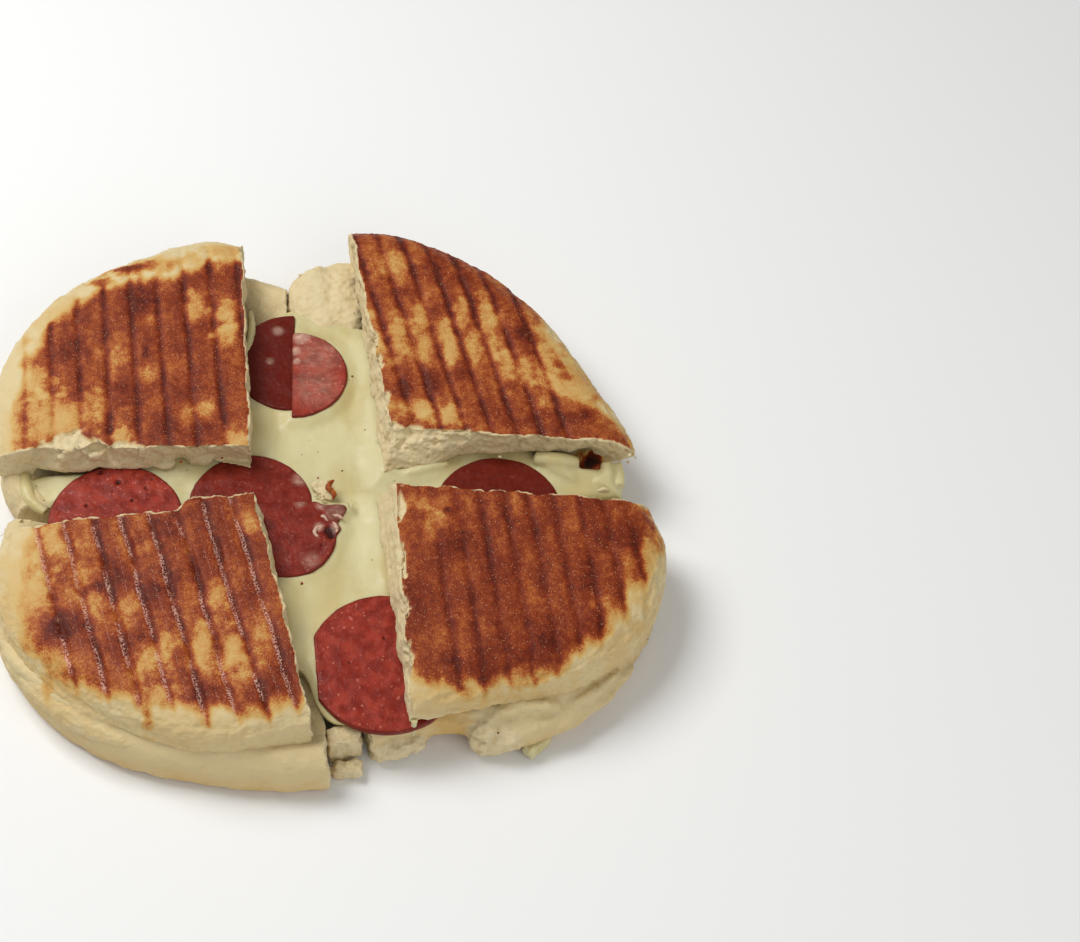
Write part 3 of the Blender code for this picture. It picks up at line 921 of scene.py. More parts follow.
@dataclass
class Quarter:
    """Plan of one quarter: two straight cut edges from a corner, joined by an arc."""

    name: str
    corner: tuple[float, float]
    angles: tuple[float, float]
    radii: tuple[float, ...]
    crust_step: tuple[float, float] = (0.0, 0.0)
    nips: tuple[float, float] = (0.0, 0.0)
    torn: float = 0.0
    draws: tuple[Draw, ...] = ()

    NIP_SHARE = 0.05
    EDGE_SWAY = 0.3
    SWAY_RATES = (0.31, 0.74)
    SWAY_SHARE = 0.14
    DRAW_SHARE = 0.09
    TORN_FADE = (-0.03, 0.01)
    BEHIND = 60.0
    ARC_STEPS = 90
    RIM_STEPS = 33
    INNER_STEPS = 59
    CUT_STEPS = 7

    @property
    def side(self) -> float:
        """1 where the arc runs anticlockwise from the first edge, else -1."""
        return 1.0 if self.angles[1] > self.angles[0] else -1.0

    def reach(self, share: np.ndarray) -> np.ndarray:
        """Return the distance from the corner to the rim at shares of the arc."""
        drawn_in = self.nips[0] * np.exp(-((share / self.NIP_SHARE) ** 2))
        drawn_in = drawn_in + self.nips[1] * np.exp(-(((1.0 - share) / self.NIP_SHARE) ** 2))
        return even_curve(self.radii, share) - drawn_in

    def ray(self, share: float, inset: float = 0.0) -> np.ndarray:
        """Return the way in plan from the corner to the rim, or to a distance in from it."""
        turn = self.angles[0] + (self.angles[1] - self.angles[0]) * share
        return (float(self.reach(np.array(share))) - inset) * heading(turn)

    def row(self, share: float, inset: np.ndarray, foot: bool) -> np.ndarray:
        """Return plan positions on one line from the rim to the corner.

        Args:
            share: Share of the arc.
            inset: Distances in from the rim.
            foot: Whether the line ends at the foot's corner and not at the crust's.

        Returns:
            X and Y for each inset.
        """
        corner = np.array(self.corner) + (0.0 if foot else np.array(self.crust_step))
        ray = self.ray(share)
        reach = np.linalg.norm(ray)
        part = 1.0 - inset / reach
        edge = max(0.0, 1.0 - min(share, 1.0 - share) / self.SWAY_SHARE)
        slow, quick = (rate * part * reach for rate in self.SWAY_RATES)
        sway = self.EDGE_SWAY * edge * (np.sin(slow + 2.0 * share) + 0.6 * np.sin(quick))
        across = self.side * np.array([-ray[1], ray[0]]) / reach
        plan = corner + np.outer(part, self.corner + ray - corner) + np.outer(sway, across)
        for draw in self.draws:
            if draw.foot == foot:
                off = share if draw.edge == 0 else 1.0 - share
                fade = math.exp(-((off / self.DRAW_SHARE) ** 2))
                plan += np.outer(draw.along(part) * fade, self.out_of_edge(draw.edge)[:2])
        return plan

    def out_of_edge(self, edge: int) -> np.ndarray:
        """Return the direction in plan that points out of a cut edge."""
        side = -self.side if edge == 0 else self.side
        return np.array([*heading(self.angles[edge] + 90.0) * side, 0.0])

    def room(self, points: np.ndarray, edge: int) -> np.ndarray:
        """Return how far points lie outside a cut edge."""
        return (points[:, :2] - self.corner) @ self.out_of_edge(edge)[:2]

    def cut_faces(self, form: Form, turned: tuple[float, float], near: tuple[float, float]) -> np.ndarray:
        """Find the points of the cut faces.

        Args:
            form: The quarter's form.
            turned: How squarely a point faces out of the edge, from none of it to all.
            near: How far outside the edge it lies, likewise.

        Returns:
            1 on the cut faces and 0 elsewhere.
        """
        at, facing = form.points, form.normals
        faces = []
        for edge in (0, 1):
            faces_out = smooth_step(*turned, facing @ self.out_of_edge(edge))
            faces.append(faces_out * smooth_step(*near, self.room(at, edge)))
        return np.maximum(*faces)

    def measure(self, points: np.ndarray) -> tuple[np.ndarray, np.ndarray]:
        """Measure points from the rim.

        Args:
            points: Positions, one row each.

        Returns:
            The share of the arc and the distance in from the rim of each point.
        """
        off = points[:, :2] - np.array(self.corner)
        turn = (np.degrees(np.arctan2(off[:, 1], off[:, 0])) - self.angles[0]) * self.side
        turn = (turn + self.BEHIND) % 360.0 - self.BEHIND
        share = np.clip(turn / abs(self.angles[1] - self.angles[0]), 0.0, 1.0)
        return share, self.reach(share) - np.linalg.norm(off, axis=1)

    def sheets(self, profile: np.ndarray, widest: float, torn_widest: float) -> list[Sheet]:
        """Return the upper side, the lower side and the two cut faces.

        Args:
            profile: The rim's rows: distance in from the rim, upper and lower height.
            widest: Height at which the rim is widest.
            torn_widest: The same along the torn share of the arc.

        Returns:
            The four sheets, which close against each other.
        """
        fine = np.linspace(0.0, 1.0, self.RIM_STEPS + 1)
        inner = np.linspace(1.0, 0.0, self.INNER_STEPS + 1)[1:]
        shares = np.linspace(0.0, 1.0, self.ARC_STEPS + 1)
        before, after = self.TORN_FADE
        upper, lower = [], []
        for share in shares:
            closed = smooth_step(self.torn + before, self.torn + after, share) if self.torn else 1.0
            height = torn_widest + (widest - torn_widest) * closed
            rows = np.vstack([[0.0, height, height], profile])
            inset, up, down = (even_curve(column, fine) for column in rows.T)
            down = down + (np.maximum(down, profile[-1, 2]) - down) * (1.0 - closed)
            reach = float(self.reach(np.array(share)))
            inset = np.concatenate([inset, reach - (reach - profile[-1, 0]) * inner])
            up = np.concatenate([up, np.full(len(inner), profile[-1, 1])])
            down = np.concatenate([down, np.full(len(inner), profile[-1, 2])])
            upper.append(np.column_stack([self.row(share, inset, False), up]))
            lower.append(np.column_stack([self.row(share, inset, True), down]))
        upper, lower = np.array(upper), np.array(lower)
        lower[:, 0] = upper[:, 0]
        levels = np.linspace(0.0, 1.0, self.CUT_STEPS + 1)[:, None, None]
        sides = [(upper[:, -1], lower[:, -1]), (upper[0], lower[0]), (upper[-1], lower[-1])]
        walls = [Sheet(top * (1 - levels) + foot * levels) for top, foot in sides]
        return [Sheet(upper), Sheet(lower[:, ::-1])] + walls


# Rows of the rims: distance in from the rim, upper and lower height
TOP_PROFILE = np.array([
    (0.4, 21.6, 15.4), (1.5, 24.9, 14.2), (3.4, 27.1, 13.4), (6.0, 28.7, CHEESE_FLOOR),
    (10.0, 29.9, CHEESE_FLOOR), (14.5, CRUST_HEIGHT, TOP_UNDERSIDE),
])
TOP_WIDEST = 17.8
TORN_WIDEST = 22.0
BASE_PROFILE = np.array([
    (0.3, 9.8, 3.2), (1.1, 12.8, 1.0), (2.5, 15.2, 0.1), (4.8, 17.2, 0.0), (8.5, 17.8, 0.0),
    (20.0, BASE_TOP, 0.0),
])
BASE_WIDEST = 6.4


@dataclass(frozen=True)
class Lump:
    """A lump of dough or crumb on a quarter: where it shows in the photograph, and its size."""

    across_px: float
    down_px: float
    height: float
    half_sizes: Triple
    turn: float = 0.0

    FADE_FROM = 1.35

    def middle(self) -> Triple:
        """Return the lump's middle in millimetres."""
        return VIEW.spot(self.across_px, self.down_px, self.height)

    def sheet(self) -> Sheet:
        """Return the lump's surface."""
        return ball(self.middle(), self.half_sizes, self.turn)

    def nearness(self, at: np.ndarray, core: float = 1.05) -> np.ndarray:
        """Return 1 inside a share of the lump, falling to 0 a little outside it."""
        off = (at - np.array(self.middle())) / np.array(self.half_sizes)
        return smooth_step(self.FADE_FROM, core, np.linalg.norm(off, axis=1))


def strand(path: np.ndarray, radii: Sequence[float]) -> Sheet:
    """Return a strand that tapers smoothly along a smooth path.

    Args:
        path: Places that it passes through at even shares of its length.
        radii: Its radius at even shares of its length.

    Returns:
        The strand's surface.
    """
    share = np.linspace(0.0, 1.0, 24)
    smooth = np.column_stack([even_curve(column, share) for column in path.T])
    return tube(smooth, np.maximum(even_curve(radii, share), 0.02))


@dataclass(frozen=True)
class Strand:
    """A strand or fold: photograph positions with their heights, and the radius at each."""

    places: tuple[Triple, ...]
    radii: tuple[float, ...]

    def sheet(self) -> Sheet:
        """Return the strand's surface."""
        return strand(np.array([VIEW.spot(*place) for place in self.places]), self.radii)


@dataclass(frozen=True)
class RimFold:
    """A fold that runs along a rim: its height, how far in it lies, and its radii.

    Shares are the places along the arc that the radii belong to.
    """

    plan: Quarter
    height: float
    inset: float
    shares: tuple[float, ...]
    radii: tuple[float, ...]

    def sheet(self) -> Sheet:
        """Return the fold's surface."""
        plan = [self.plan.corner + self.plan.ray(share, self.inset) for share in self.shares]
        return strand(np.array([(*place, self.height) for place in plan]), self.radii)


@dataclass
class BreadTop:
    """A top quarter: grooved, browned crust, a pale rim and torn crumb on the cut faces.

    Tones below GOLDEN are drawn towards it, so that patches stay golden and not white.
    """

    name: str
    plan: Quarter
    grooves: Grooves
    pale_rim: tuple[float, ...]
    browning: float
    patches: tuple[Patch, ...]
    stains_and_shade: tuple[Patch, ...] = ()
    bare: tuple[Patch, ...] = ()
    crumb_lumps: tuple[Lump, ...] = ()
    folds: tuple[RimFold, ...] = ()
    tear: float = 1.0
    seed: int = 1

    VOXEL = 0.5
    RELAXED = 3
    CUT_TURNED = (0.25, 0.5)
    CUT_NEAR = (-14.0, -9.0)
    CUT_ABOVE = (13.0, 16.0)
    CRUST_ABOVE = (21.0, 26.0)
    CRUST_TURNED = (0.1, 0.45)
    BARE_ABOVE = (20.0, 24.0)
    BARE_FROM = (0.25, 0.5)
    SWELL_ABOVE = (18.0, 24.0)
    RAGGED_ABOVE = (24.0, 28.5)
    PRESSED_INSIDE = (3.0, 10.0)
    PRESSED_LEAST = 0.8
    PRESSED_UNEVENLY = Swell(0.7, 14.0, 1)
    WRINKLED_INSIDE = (9.0, 3.0)
    ALONG_RIM = (130.0, 2.6, 1.6)
    GOLDEN = 0.34
    GOLDEN_KEPT = 0.5
    SWELL = (Swell(0.4, 24.0), Swell(0.12, 5.0))
    FINE = Swell(0.06, 1.6)
    TORN = Swell(0.7, 5.5)
    TORN_FINE = Swell(0.22, 1.8)
    TORN_FLATTENED = (1.0, 1.0, 1.5)
    PORE_SPACING = 1.7
    PORE_EMPTY = 0.5
    PORE_DEPTH = 0.45
    RAGGED = Swell(0.8, 2.8, 3)
    TORN_OFF = Swell(0.5, 4.0)
    TORN_OFF_DEPTH = 1.2
    OIL_CLOUDS = Swell(1.0, 10.0)
    OILY = (-0.4, 0.1)
    LONG_FOLDS = Swell(0.715, 16.0, 3, 0.6)
    CREASES = Swell(0.5, 5.0, 3, 0.6)
    SOFT = Swell(0.3, 9.0)
    RIM_FRAY = Swell(3.0, 6.0, 3)
    RIM_FRAY_STRETCH = (1.0, 0.45, 1.0)
    RIM_FADE = 3.2
    GROOVES_REACH_OUT = 1.5
    CLOUDS = Swell(0.15, 6.0, 3)
    CLOUD_STRETCH = (1.0, 0.4, 1.0)
    WIDE_CLOUDS = Swell(0.10, 13.0)
    DARK_UNEVENLY = Swell(0.9, 11.0, 1)

    def build(self, finish: Material) -> None:
        """Build the quarter and set it down in its solid's place.

        Args:
            finish: The bread's material.
        """
        grain = Grain(self.seed)
        sheets = self.plan.sheets(TOP_PROFILE, TOP_WIDEST, TORN_WIDEST)
        sheets += [part.sheet() for part in self.crumb_lumps + self.folds]
        form = Form(self.name, sheets, self.VOXEL)
        form.relax(self.RELAXED)
        at, facing = form.points, form.normals
        height = at[:, 2]
        share, inset = self.plan.measure(at)
        bare = self._bare(at, grain)
        cut = self.plan.cut_faces(form, self.CUT_TURNED, self.CUT_NEAR) * smooth_step(*self.CUT_ABOVE, height)
        cut = np.max([cut, bare] + [lump.nearness(at) for lump in self.crumb_lumps], axis=0)
        crust = smooth_step(*self.CRUST_ABOVE, height) * smooth_step(*self.CRUST_TURNED, facing[:, 2])
        crust = crust * (1.0 - cut)
        groove = self.grooves.off(at, grain)
        line = np.exp(-((groove / self.grooves.width) ** 2))
        browned = self._browned(at, share, inset, line, grain)
        tone = self._tone(at, line, grain) * browned * crust
        # Stains and patches of painted shade add tone where the crust is not browned
        stained_and_shaded = sum(tone_patch.strength(at, grain) for tone_patch in self.stains_and_shade)
        tone = tone + stained_and_shaded * (1.0 - cut) * (1.0 - browned * crust)
        # The greasy streaks by the grooves, which get gloss and a painted highlight
        oily = self.grooves.oil * smooth_step(*self.OILY, grain.relief(at, self.OIL_CLOUDS))
        pore = grain.pores(at, self.PORE_SPACING, self.PORE_EMPTY)
        form.carry(
            tone=np.clip(tone, 0.0, 1.0), crumb=cut, oil=oily * crust * browned,
            groove=groove, pore=pore * cut,
        )
        pressed = self.grooves.depth * line * smooth_step(*self.PRESSED_INSIDE, inset)
        pressed = pressed * (self.PRESSED_LEAST + grain.relief(at, self.PRESSED_UNEVENLY))
        above = smooth_step(*self.SWELL_ABOVE, height)
        torn = grain.relief(at * self.TORN_FLATTENED, self.TORN) + grain.relief(at, self.TORN_FINE)
        ragged = grain.relief(at, self.RAGGED) * smooth_step(*self.RAGGED_ABOVE, height)
        torn = self.tear * (torn - self.PORE_DEPTH * pore + ragged)
        torn_off = bare * (grain.relief(at, self.TORN_OFF) - self.TORN_OFF_DEPTH)
        even = above * (grain.relief(at, *self.SWELL) - pressed * crust) + grain.relief(at, self.FINE)
        form.push(even + self._wrinkles(at, share, inset, grain) * (1 - cut) + torn * cut + torn_off)
        form.set_down(finish, Slot.CRUST, self.plan.name)

    def _bare(self, at: np.ndarray, grain: Grain) -> np.ndarray:
        """Return 1 where the crust is torn off its edge."""
        bare = [smooth_step(*self.BARE_FROM, patch.strength(at, grain)) for patch in self.bare]
        return np.max([np.zeros(len(at))] + bare, axis=0) * smooth_step(*self.BARE_ABOVE, at[:, 2])

    def _wrinkles(self, at: np.ndarray, share: np.ndarray, inset: np.ndarray, grain: Grain) -> np.ndarray:
        """Return the relief of the soft dough round the rim.

        Args:
            at: Positions, one row each.
            share: Their shares of the arc.
            inset: How far in from the rim they lie.
            grain: The noise of the wrinkles.

        Returns:
            How far each point is moved.
        """
        round_it = np.column_stack([share, at[:, 2], inset]) * self.ALONG_RIM
        folds = np.abs(grain.relief(round_it, self.LONG_FOLDS)) + np.abs(grain.relief(at, self.CREASES))
        return (grain.relief(at, self.SOFT) - folds) * smooth_step(*self.WRINKLED_INSIDE, inset)

    def _browned(
        self, at: np.ndarray, share: np.ndarray, inset: np.ndarray, line: np.ndarray, grain: Grain,
    ) -> np.ndarray:
        """Return where the crust touched the grill.

        Args:
            at: Positions, one row each.
            share: Their shares of the arc.
            inset: How far in from the rim they lie.
            line: 1 in the middle of a groove and 0 away from it.
            grain: The noise that frays the browned part's edge.

        Returns:
            1 on the browned part and 0 on the pale rim.
        """
        turned = self.grooves.turned(at) * self.RIM_FRAY_STRETCH
        rim = even_curve(self.pale_rim, share) + grain.relief(turned, self.RIM_FRAY)
        rim = rim - self.GROOVES_REACH_OUT * line
        return smooth_step(-self.RIM_FADE, self.RIM_FADE, inset - rim)

    def _tone(self, at: np.ndarray, line: np.ndarray, grain: Grain) -> np.ndarray:
        """Return how brown the crust is.

        Args:
            at: Positions, one row each.
            line: 1 in the middle of a groove and 0 away from it.
            grain: The noise of the browning.

        Returns:
            The tone from 0, raw, to 1, scorched.
        """
        turned = self.grooves.turned(at) * self.CLOUD_STRETCH
        tone = self.browning + grain.relief(turned, self.CLOUDS) + grain.relief(at, self.WIDE_CLOUDS)
        tone = tone + sum(patch.strength(at, grain) for patch in self.patches)
        tone = np.where(tone < self.GOLDEN, self.GOLDEN - self.GOLDEN_KEPT * (self.GOLDEN - tone), tone)
        return tone + self.grooves.dark * line * (1.0 + grain.relief(at, self.DARK_UNEVENLY))


@dataclass
class BreadBase:
    """A base quarter: pale dough with a lightly browned underside, painted warm bounce light low on its sides
    and painted shade in a few patches.
    """

    name: str
    plan: Quarter
    crumb_lumps: tuple[Lump, ...] = ()
    folds: tuple[Strand, ...] = ()
    dents: tuple[Lump, ...] = ()
    stains_and_shade: tuple[Patch, ...] = ()
    tear: float = 1.0
    creased: float = 1.0
    voxel: float = 0.8
    seed: int = 20

    RELAXED = 4
    CUT_TURNED = (0.4, 0.7)
    CUT_NEAR = (-8.0, -4.0)
    UNDER_TURNED = (-0.75, -0.95)
    DENT_CORE = 0.4
    DENT_DEPTH = 3.4
    # Painted light: a warm tint that grows towards the bottom of the dough, as bounced light
    BOUNCE_WARMTH = 0.07
    BOUNCE_BELOW = (15.0, 3.0)
    BOUNCE_CLOUDS = Swell(0.8, 12.0)
    GRILLED = 0.5
    GRILL_LINES = 0.25
    GRILL_LINES_FROM = (0.6, 0.95)
    GRILL_RATE = 0.7
    GRILL_WAVER = Swell(0.4, 12.0, 1)
    GRILL_CLOUDS = Swell(0.2, 9.0, 3)
    ALONG_RIM = (150.0, 2.6, 0.0)
    LONG_FOLDS = Swell(0.5, 18.0, 3, 0.6)
    CREASES = Swell(0.5, 7.0, 3)
    FINE_CREASES = Swell(0.2, 2.6, 1)
    SOFT = Swell(0.3, 9.0)
    TORN = (Swell(0.35, 4.5, 3), Swell(0.3, 2.2, 3))
    PORE_SPACING = 2.4
    PORE_EMPTY = 0.45
    PORE_DEPTH = 0.3

    def build(self, finish: Material) -> None:
        """Build the quarter and set it down in its solid's place.

        Args:
            finish: The bread's material.
        """
        grain = Grain(self.seed)
        sheets = self.plan.sheets(BASE_PROFILE, BASE_WIDEST, BASE_WIDEST)
        sheets += [part.sheet() for part in self.crumb_lumps + self.folds]
        form = Form(self.name, sheets, self.voxel)
        form.relax(self.RELAXED)
        at, facing = form.points, form.normals
        cut = self.plan.cut_faces(form, self.CUT_TURNED, self.CUT_NEAR)
        cut = np.max([cut] + [lump.nearness(at) for lump in self.crumb_lumps], axis=0)
        dent = np.max([0 * cut] + [dent.nearness(at, self.DENT_CORE) for dent in self.dents], axis=0)
        under = smooth_step(*self.UNDER_TURNED, facing[:, 2])
        # Paint warm bounced light into the lower dough
        warm = self.BOUNCE_WARMTH * smooth_step(*self.BOUNCE_BELOW, at[:, 2])
        warm = warm * (1.0 + grain.relief(at, self.BOUNCE_CLOUDS))
        # Stains and patches of painted shade add to the tone
        warm = warm + sum(tone_patch.strength(at, grain) for tone_patch in self.stains_and_shade)
        tone = warm + (self._grilled(at, grain) - warm) * under * (1.0 - dent)
        pore = grain.pores(at, self.PORE_SPACING, self.PORE_EMPTY) * cut
        form.carry(tone=tone, crumb=cut, pore=pore, oil=0.0, groove=0.0)
        share, inset = self.plan.measure(at)
        round_it = np.column_stack([share, at[:, 2], inset]) * self.ALONG_RIM
        folds = np.abs(grain.relief(round_it, self.LONG_FOLDS)) + np.abs(grain.relief(at, self.CREASES))
        folds = folds + np.abs(grain.relief(at, self.FINE_CREASES))
        wrinkle = self.creased * (grain.relief(at, self.SOFT) - folds)
        torn = self.tear * (grain.relief(at, *self.TORN) - self.PORE_DEPTH * pore)
        form.push((wrinkle * (1.0 - cut) + cut * torn) * (1.0 - under) - self.DENT_DEPTH * dent)
        form.set_down(finish, Slot.WHITE_BREAD, self.plan.name)

    def _grilled(self, at: np.ndarray, grain: Grain) -> np.ndarray:
        """Return the tone of the grilled underside."""
        lines = np.sin(self.GRILL_RATE * at[:, 0] + grain.relief(at, self.GRILL_WAVER))
        lines = smooth_step(*self.GRILL_LINES_FROM, lines)
        tone = self.GRILLED + grain.relief(at, self.GRILL_CLOUDS) + self.GRILL_LINES * lines
        return np.clip(tone, 0.0, 1.0)


@dataclass(frozen=True)
class Slice:
    """A sausage slice: middle, radius, straight cuts, bumps of the edge, and its dip.

    A chord is a direction and its distance from the middle; a lobe is a direction, a width
    in degrees and a height; pits and tears are a place in the photograph, a radius and,
    for a tear, how pale it is. Pits are pressed in and painted dark as shade in the holes.
    Deep is how far the meat is darkened by painted shade where a cast shadow falls on it,
    and seam how dark a line of painted shade along its cut edge is.
    """

    name: str
    node: str
    middle: tuple[float, float]
    radius: float
    chords: tuple[tuple[float, float], ...] = ()
    lobes: tuple[Triple, ...] = ()
    dip: float = 0.0
    drop: float = 0.0
    lift: float = 0.0
    pits: tuple[Triple, ...] = ()
    tears: tuple[tuple[float, float, float, float], ...] = ()
    deep: float = 0.0
    seam_shade: float = 0.0
    seed: int = 40

    THICKNESS = 2.6
    STEPS = 200
    FACE_STEPS = 60
    ROUND_STEPS = 6
    CHORD_STAND_OFF = 0.42
    ROUNDING = 0.7
    FILM = 0.6
    SKIN = (-1.0, -0.2)
    SEAM = (-1.1, -0.2)
    SEAM_FRAY = Swell(0.5, 2.5, 1)
    DROP_FROM = -0.3
    SWELL = Swell(0.16, 6.0, 3)
    PIT_EDGE = (1.3, 0.5)
    PIT_DEPTH = 0.5
    TEAR_EDGE = (1.4, 0.3)
    TEAR_HEIGHT = 0.3
    STREAKS = Swell(1.0, 2.4, 3)
    STREAK_STRETCH = (1.0, 2.0, 1.0)
    STREAKS_FROM = (-0.12, 0.3)
    FAT_SPACING = 2.4
    FAT_GAP = (0.45, 0.1)
    FAT_MARK = (0.5, 0.6)
    FAT_HEIGHT = 0.08

    def edge_room(self, points: np.ndarray) -> np.ndarray:
        """Return about how far points lie outside the slice, below 0 on it."""
        off = points[:, :2] - np.array(self.middle)
        turn = np.degrees(np.arctan2(off[:, 1], off[:, 0]))
        reach = np.full(len(points), self.radius)
        for direction, width, height in self.lobes:
            reach += height * np.exp(-((turn_from(direction, turn) / width) ** 2))
        room = np.linalg.norm(off, axis=1) - reach
        for direction, distance in self.chords:
            room = np.maximum(room, off @ heading(direction) - distance)
        return room

    def height(self, points: np.ndarray) -> np.ndarray:
        """Return the height of the slice's upper face."""
        along = (points[:, :2] - self.middle) @ heading(self.dip)
        drop = self.drop * smooth_step(self.DROP_FROM * self.radius, self.radius, along)
        return CHEESE_TOP + self.lift - drop

    def outline(self) -> tuple[np.ndarray, np.ndarray]:
        """Return a point well inside and the edge around it."""
        centre = np.array(self.middle)
        for direction, distance in self.chords:
            centre = centre - max(0.0, self.CHORD_STAND_OFF * self.radius - distance) * heading(direction)
        turn = np.linspace(0, 2 * np.pi, self.STEPS + 1)
        ray = np.column_stack([np.cos(turn), np.sin(turn)])
        reach, stride = np.zeros(len(turn)), 2.0 * self.radius
        while stride > 0.005:
            ahead = centre + ray * (reach + stride)[:, None]
            reach = np.where(self.edge_room(ahead) < 0, reach + stride, reach)
            stride *= 0.5
        return centre, centre + ray * reach[:, None]

    def _rows(self) -> list[Triple]:
        """Return the rows of the slice from the middle of its upper face to that of its lower.

        Returns:
            For each row the share of the way out, how far in from there it lies, and how far down.
        """
        rows = [(share, self.ROUNDING * share, 0.0) for share in np.linspace(0.0, 1.0, self.FACE_STEPS)[:-1]]
        bend = np.linspace(0, np.pi / 2, self.ROUND_STEPS)
        round_off = self.ROUNDING * (1.0 - np.column_stack([np.sin(bend), np.cos(bend)]))
        rows += [(1.0, inset, down) for inset, down in round_off]
        rows += [(1.0, inset, self.THICKNESS - down) for inset, down in round_off[::-1]]
        return rows + [(0.6, 0.0, self.THICKNESS), (0.0, 0.0, self.THICKNESS)]

    def build(self, finish: Material) -> None:
        """Build the slice and set it down in its solid's place.

        Args:
            finish: The sausage's material.
        """
        grain = Grain(self.seed)
        centre, edge = self.outline()
        span = np.linalg.norm(edge - centre, axis=1)[:, None]
        grid = []
        for share, inset, down in self._rows():
            plan = centre + (edge - centre) * (share - inset / span)
            grid.append(np.column_stack([plan, self.height(plan) - down]))
        form = Form(self.name, [Sheet(np.array(grid))])
        at = form.points
        off = np.linalg.norm(at[:, :2] - self.middle, axis=1) - self.radius
        # A line of painted shade along the cut edge, in the crack between halves
        seam_shade = self.edge_room(at) + grain.relief(at, self.SEAM_FRAY)
        seam_shade = self.seam_shade * smooth_step(*self.SEAM, seam_shade)
        pit, torn = np.zeros(len(at)), np.zeros(len(at))
        # Pits are pressed in and painted dark as shade in the holes
        for across_px, down_px, radius in self.pits:
            away = np.linalg.norm(VIEW.off(at, across_px, down_px), axis=1)
            pit = np.maximum(pit, smooth_step(*self.PIT_EDGE, away / radius))
        streaks = grain.relief(at * self.STREAK_STRETCH, self.STREAKS)
        streaks = np.maximum(smooth_step(*self.STREAKS_FROM, streaks), self.FILM)
        for across_px, down_px, radius, amount in self.tears:
            away = np.linalg.norm(VIEW.off(at, across_px, down_px), axis=1)
            torn = np.maximum(torn, amount * smooth_step(*self.TEAR_EDGE, away / radius) * streaks)
        # The skin mark holds the darker skin and the seam's painted shade; deep is painted shade of a cast
        # shadow
        form.carry(skin=np.maximum(smooth_step(*self.SKIN, off), seam_shade), pit=pit, torn=torn, deep=self.deep)
        gap, mark = grain.bubbles(at, self.FAT_SPACING)
        fat = smooth_step(*self.FAT_GAP, gap) * smooth_step(*self.FAT_MARK, mark)
        relief = self.FAT_HEIGHT * fat - self.PIT_DEPTH * pit + self.TEAR_HEIGHT * torn
        form.push(grain.relief(at, self.SWELL) + relief)
        form.set_down(finish, Slot.SAUSAGE, self.node)


@dataclass(frozen=True)
class CheeseSheet:
    """The sheet of melted cheese that the slices lie in.

    An arm is the direction, reach and width in degrees of a stretch that runs out to a cut.
    """

    tops: tuple[Quarter, ...]
    slices: tuple[Slice, ...]
    folds: tuple[Strand, ...]
    radius: float = 68.0
    edge_drop: float = 1.6
    sag: float = 2.0
    sag_width: float = 9.0
    film: float = 0.3
    wave: float = 0.35
    cut_middle_x: float = -5.0
    bed: float = 0.75
    meniscus: float = 5.0
    arms: tuple[Triple, ...] = ((179.2, 101.0, 5.0), (2.6, 96.0, 4.4), (98.0, 80.0, 11.0), (-86.0, 84.0, 9.0))
    voxel: float = 0.6
    swell: tuple[Swell, ...] = (Swell(0.28, 11.0), Swell(0.08, 3.0))

    SCALLOPS = 5
    SCALLOP_DEPTH = 1.5
    WAVE_RATES = (0.19, 0.16)
    BED_EDGE = (0.7, -0.3)
    RELAXED = 3

    def reach(self, turn: np.ndarray) -> np.ndarray:
        """Return the sheet's plan radius in a direction."""
        reach = self.radius + self.SCALLOP_DEPTH * np.sin(self.SCALLOPS * turn + 0.7)
        best = reach
        for direction, arm, width in self.arms:
            off = turn_from(direction, np.degrees(turn))
            best = np.maximum(best, reach + (arm - reach) * np.exp(-((off / width) ** 4)))
        return best

    def gap(self, points: np.ndarray) -> np.ndarray:
        """Return how far points lie inside the gap between the top quarters."""
        back_left, back_right, front_left, front_right = self.tops
        back = points[:, 1] > 0
        left_room = np.where(back, back_left.room(points, 0), front_left.room(points, 0))
        right_room = np.where(back, back_right.room(points, 0), front_right.room(points, 0))
        west = points[:, 0] < self.cut_middle_x
        near_room = np.where(west, front_left.room(points, 1), front_right.room(points, 1))
        far_room = np.where(west, back_left.room(points, 1), back_right.room(points, 1))
        return np.maximum(np.minimum(left_room, right_room), np.minimum(near_room, far_room))

    def height(self, points: np.ndarray) -> np.ndarray:
        """Return the height of the sheet's upper side."""
        room = self.gap(points)
        sag = self.sag * smooth_step(0.0, self.sag_width, room)
        across, along = (points[:, :2] * self.WAVE_RATES).T
        wave = self.wave * np.sin(across + 0.5) * np.sin(along + 1.1)
        height = CHEESE_TOP - sag - (self.film + wave) * smooth_step(0.0, 0.5 * self.sag_width, room)
        beds = [(piece.edge_room(points), piece.height(points) - self.bed) for piece in self.slices]
        for near, bed in beds:
            height = bed + (height - bed) * smooth_step(-0.5, self.meniscus, near)
        for near, bed in beds:
            height = height + (np.minimum(height, bed) - height) * smooth_step(*self.BED_EDGE, near)
        return height

    def build(self, finish: Material) -> None:
        """Build the sheet and set it down in its solid's place.

        Args:
            finish: The cheese's material.
        """
        turn = np.linspace(0, 2 * np.pi, 361)
        ray = np.column_stack([np.cos(turn), np.sin(turn)])
        shares = np.concatenate([np.linspace(0.0, 0.9, 80), np.linspace(0.9, 1.0, 14)[1:]])
        reach = self.reach(turn)
        grid = []
        for share in shares:
            plan = ray * (reach * share)[:, None]
            drop = self.edge_drop * smooth_step(0.9, 1.0, share)
            grid.append(np.column_stack([plan, self.height(plan) - drop]))
        for radius in (reach - 1.0, reach - 2.5, 0 * reach):
            grid.append(np.column_stack([ray * radius[:, None], np.full(len(turn), CHEESE_FLOOR)]))
        sheets = [Sheet(np.array(grid))] + [fold.sheet() for fold in self.folds]
        form = Form("cheese_layer", sheets, self.voxel)
        form.relax(self.RELAXED)
        form.push(Grain(60).relief(form.points, *self.swell))
        form.set_down(finish, Slot.CHEESE, "melted_cheese")


PLAIN_BREAD = {"tone": 0.0, "crumb": 0.0, "oil": 0.0, "groove": 0.0, "pore": 0.0}


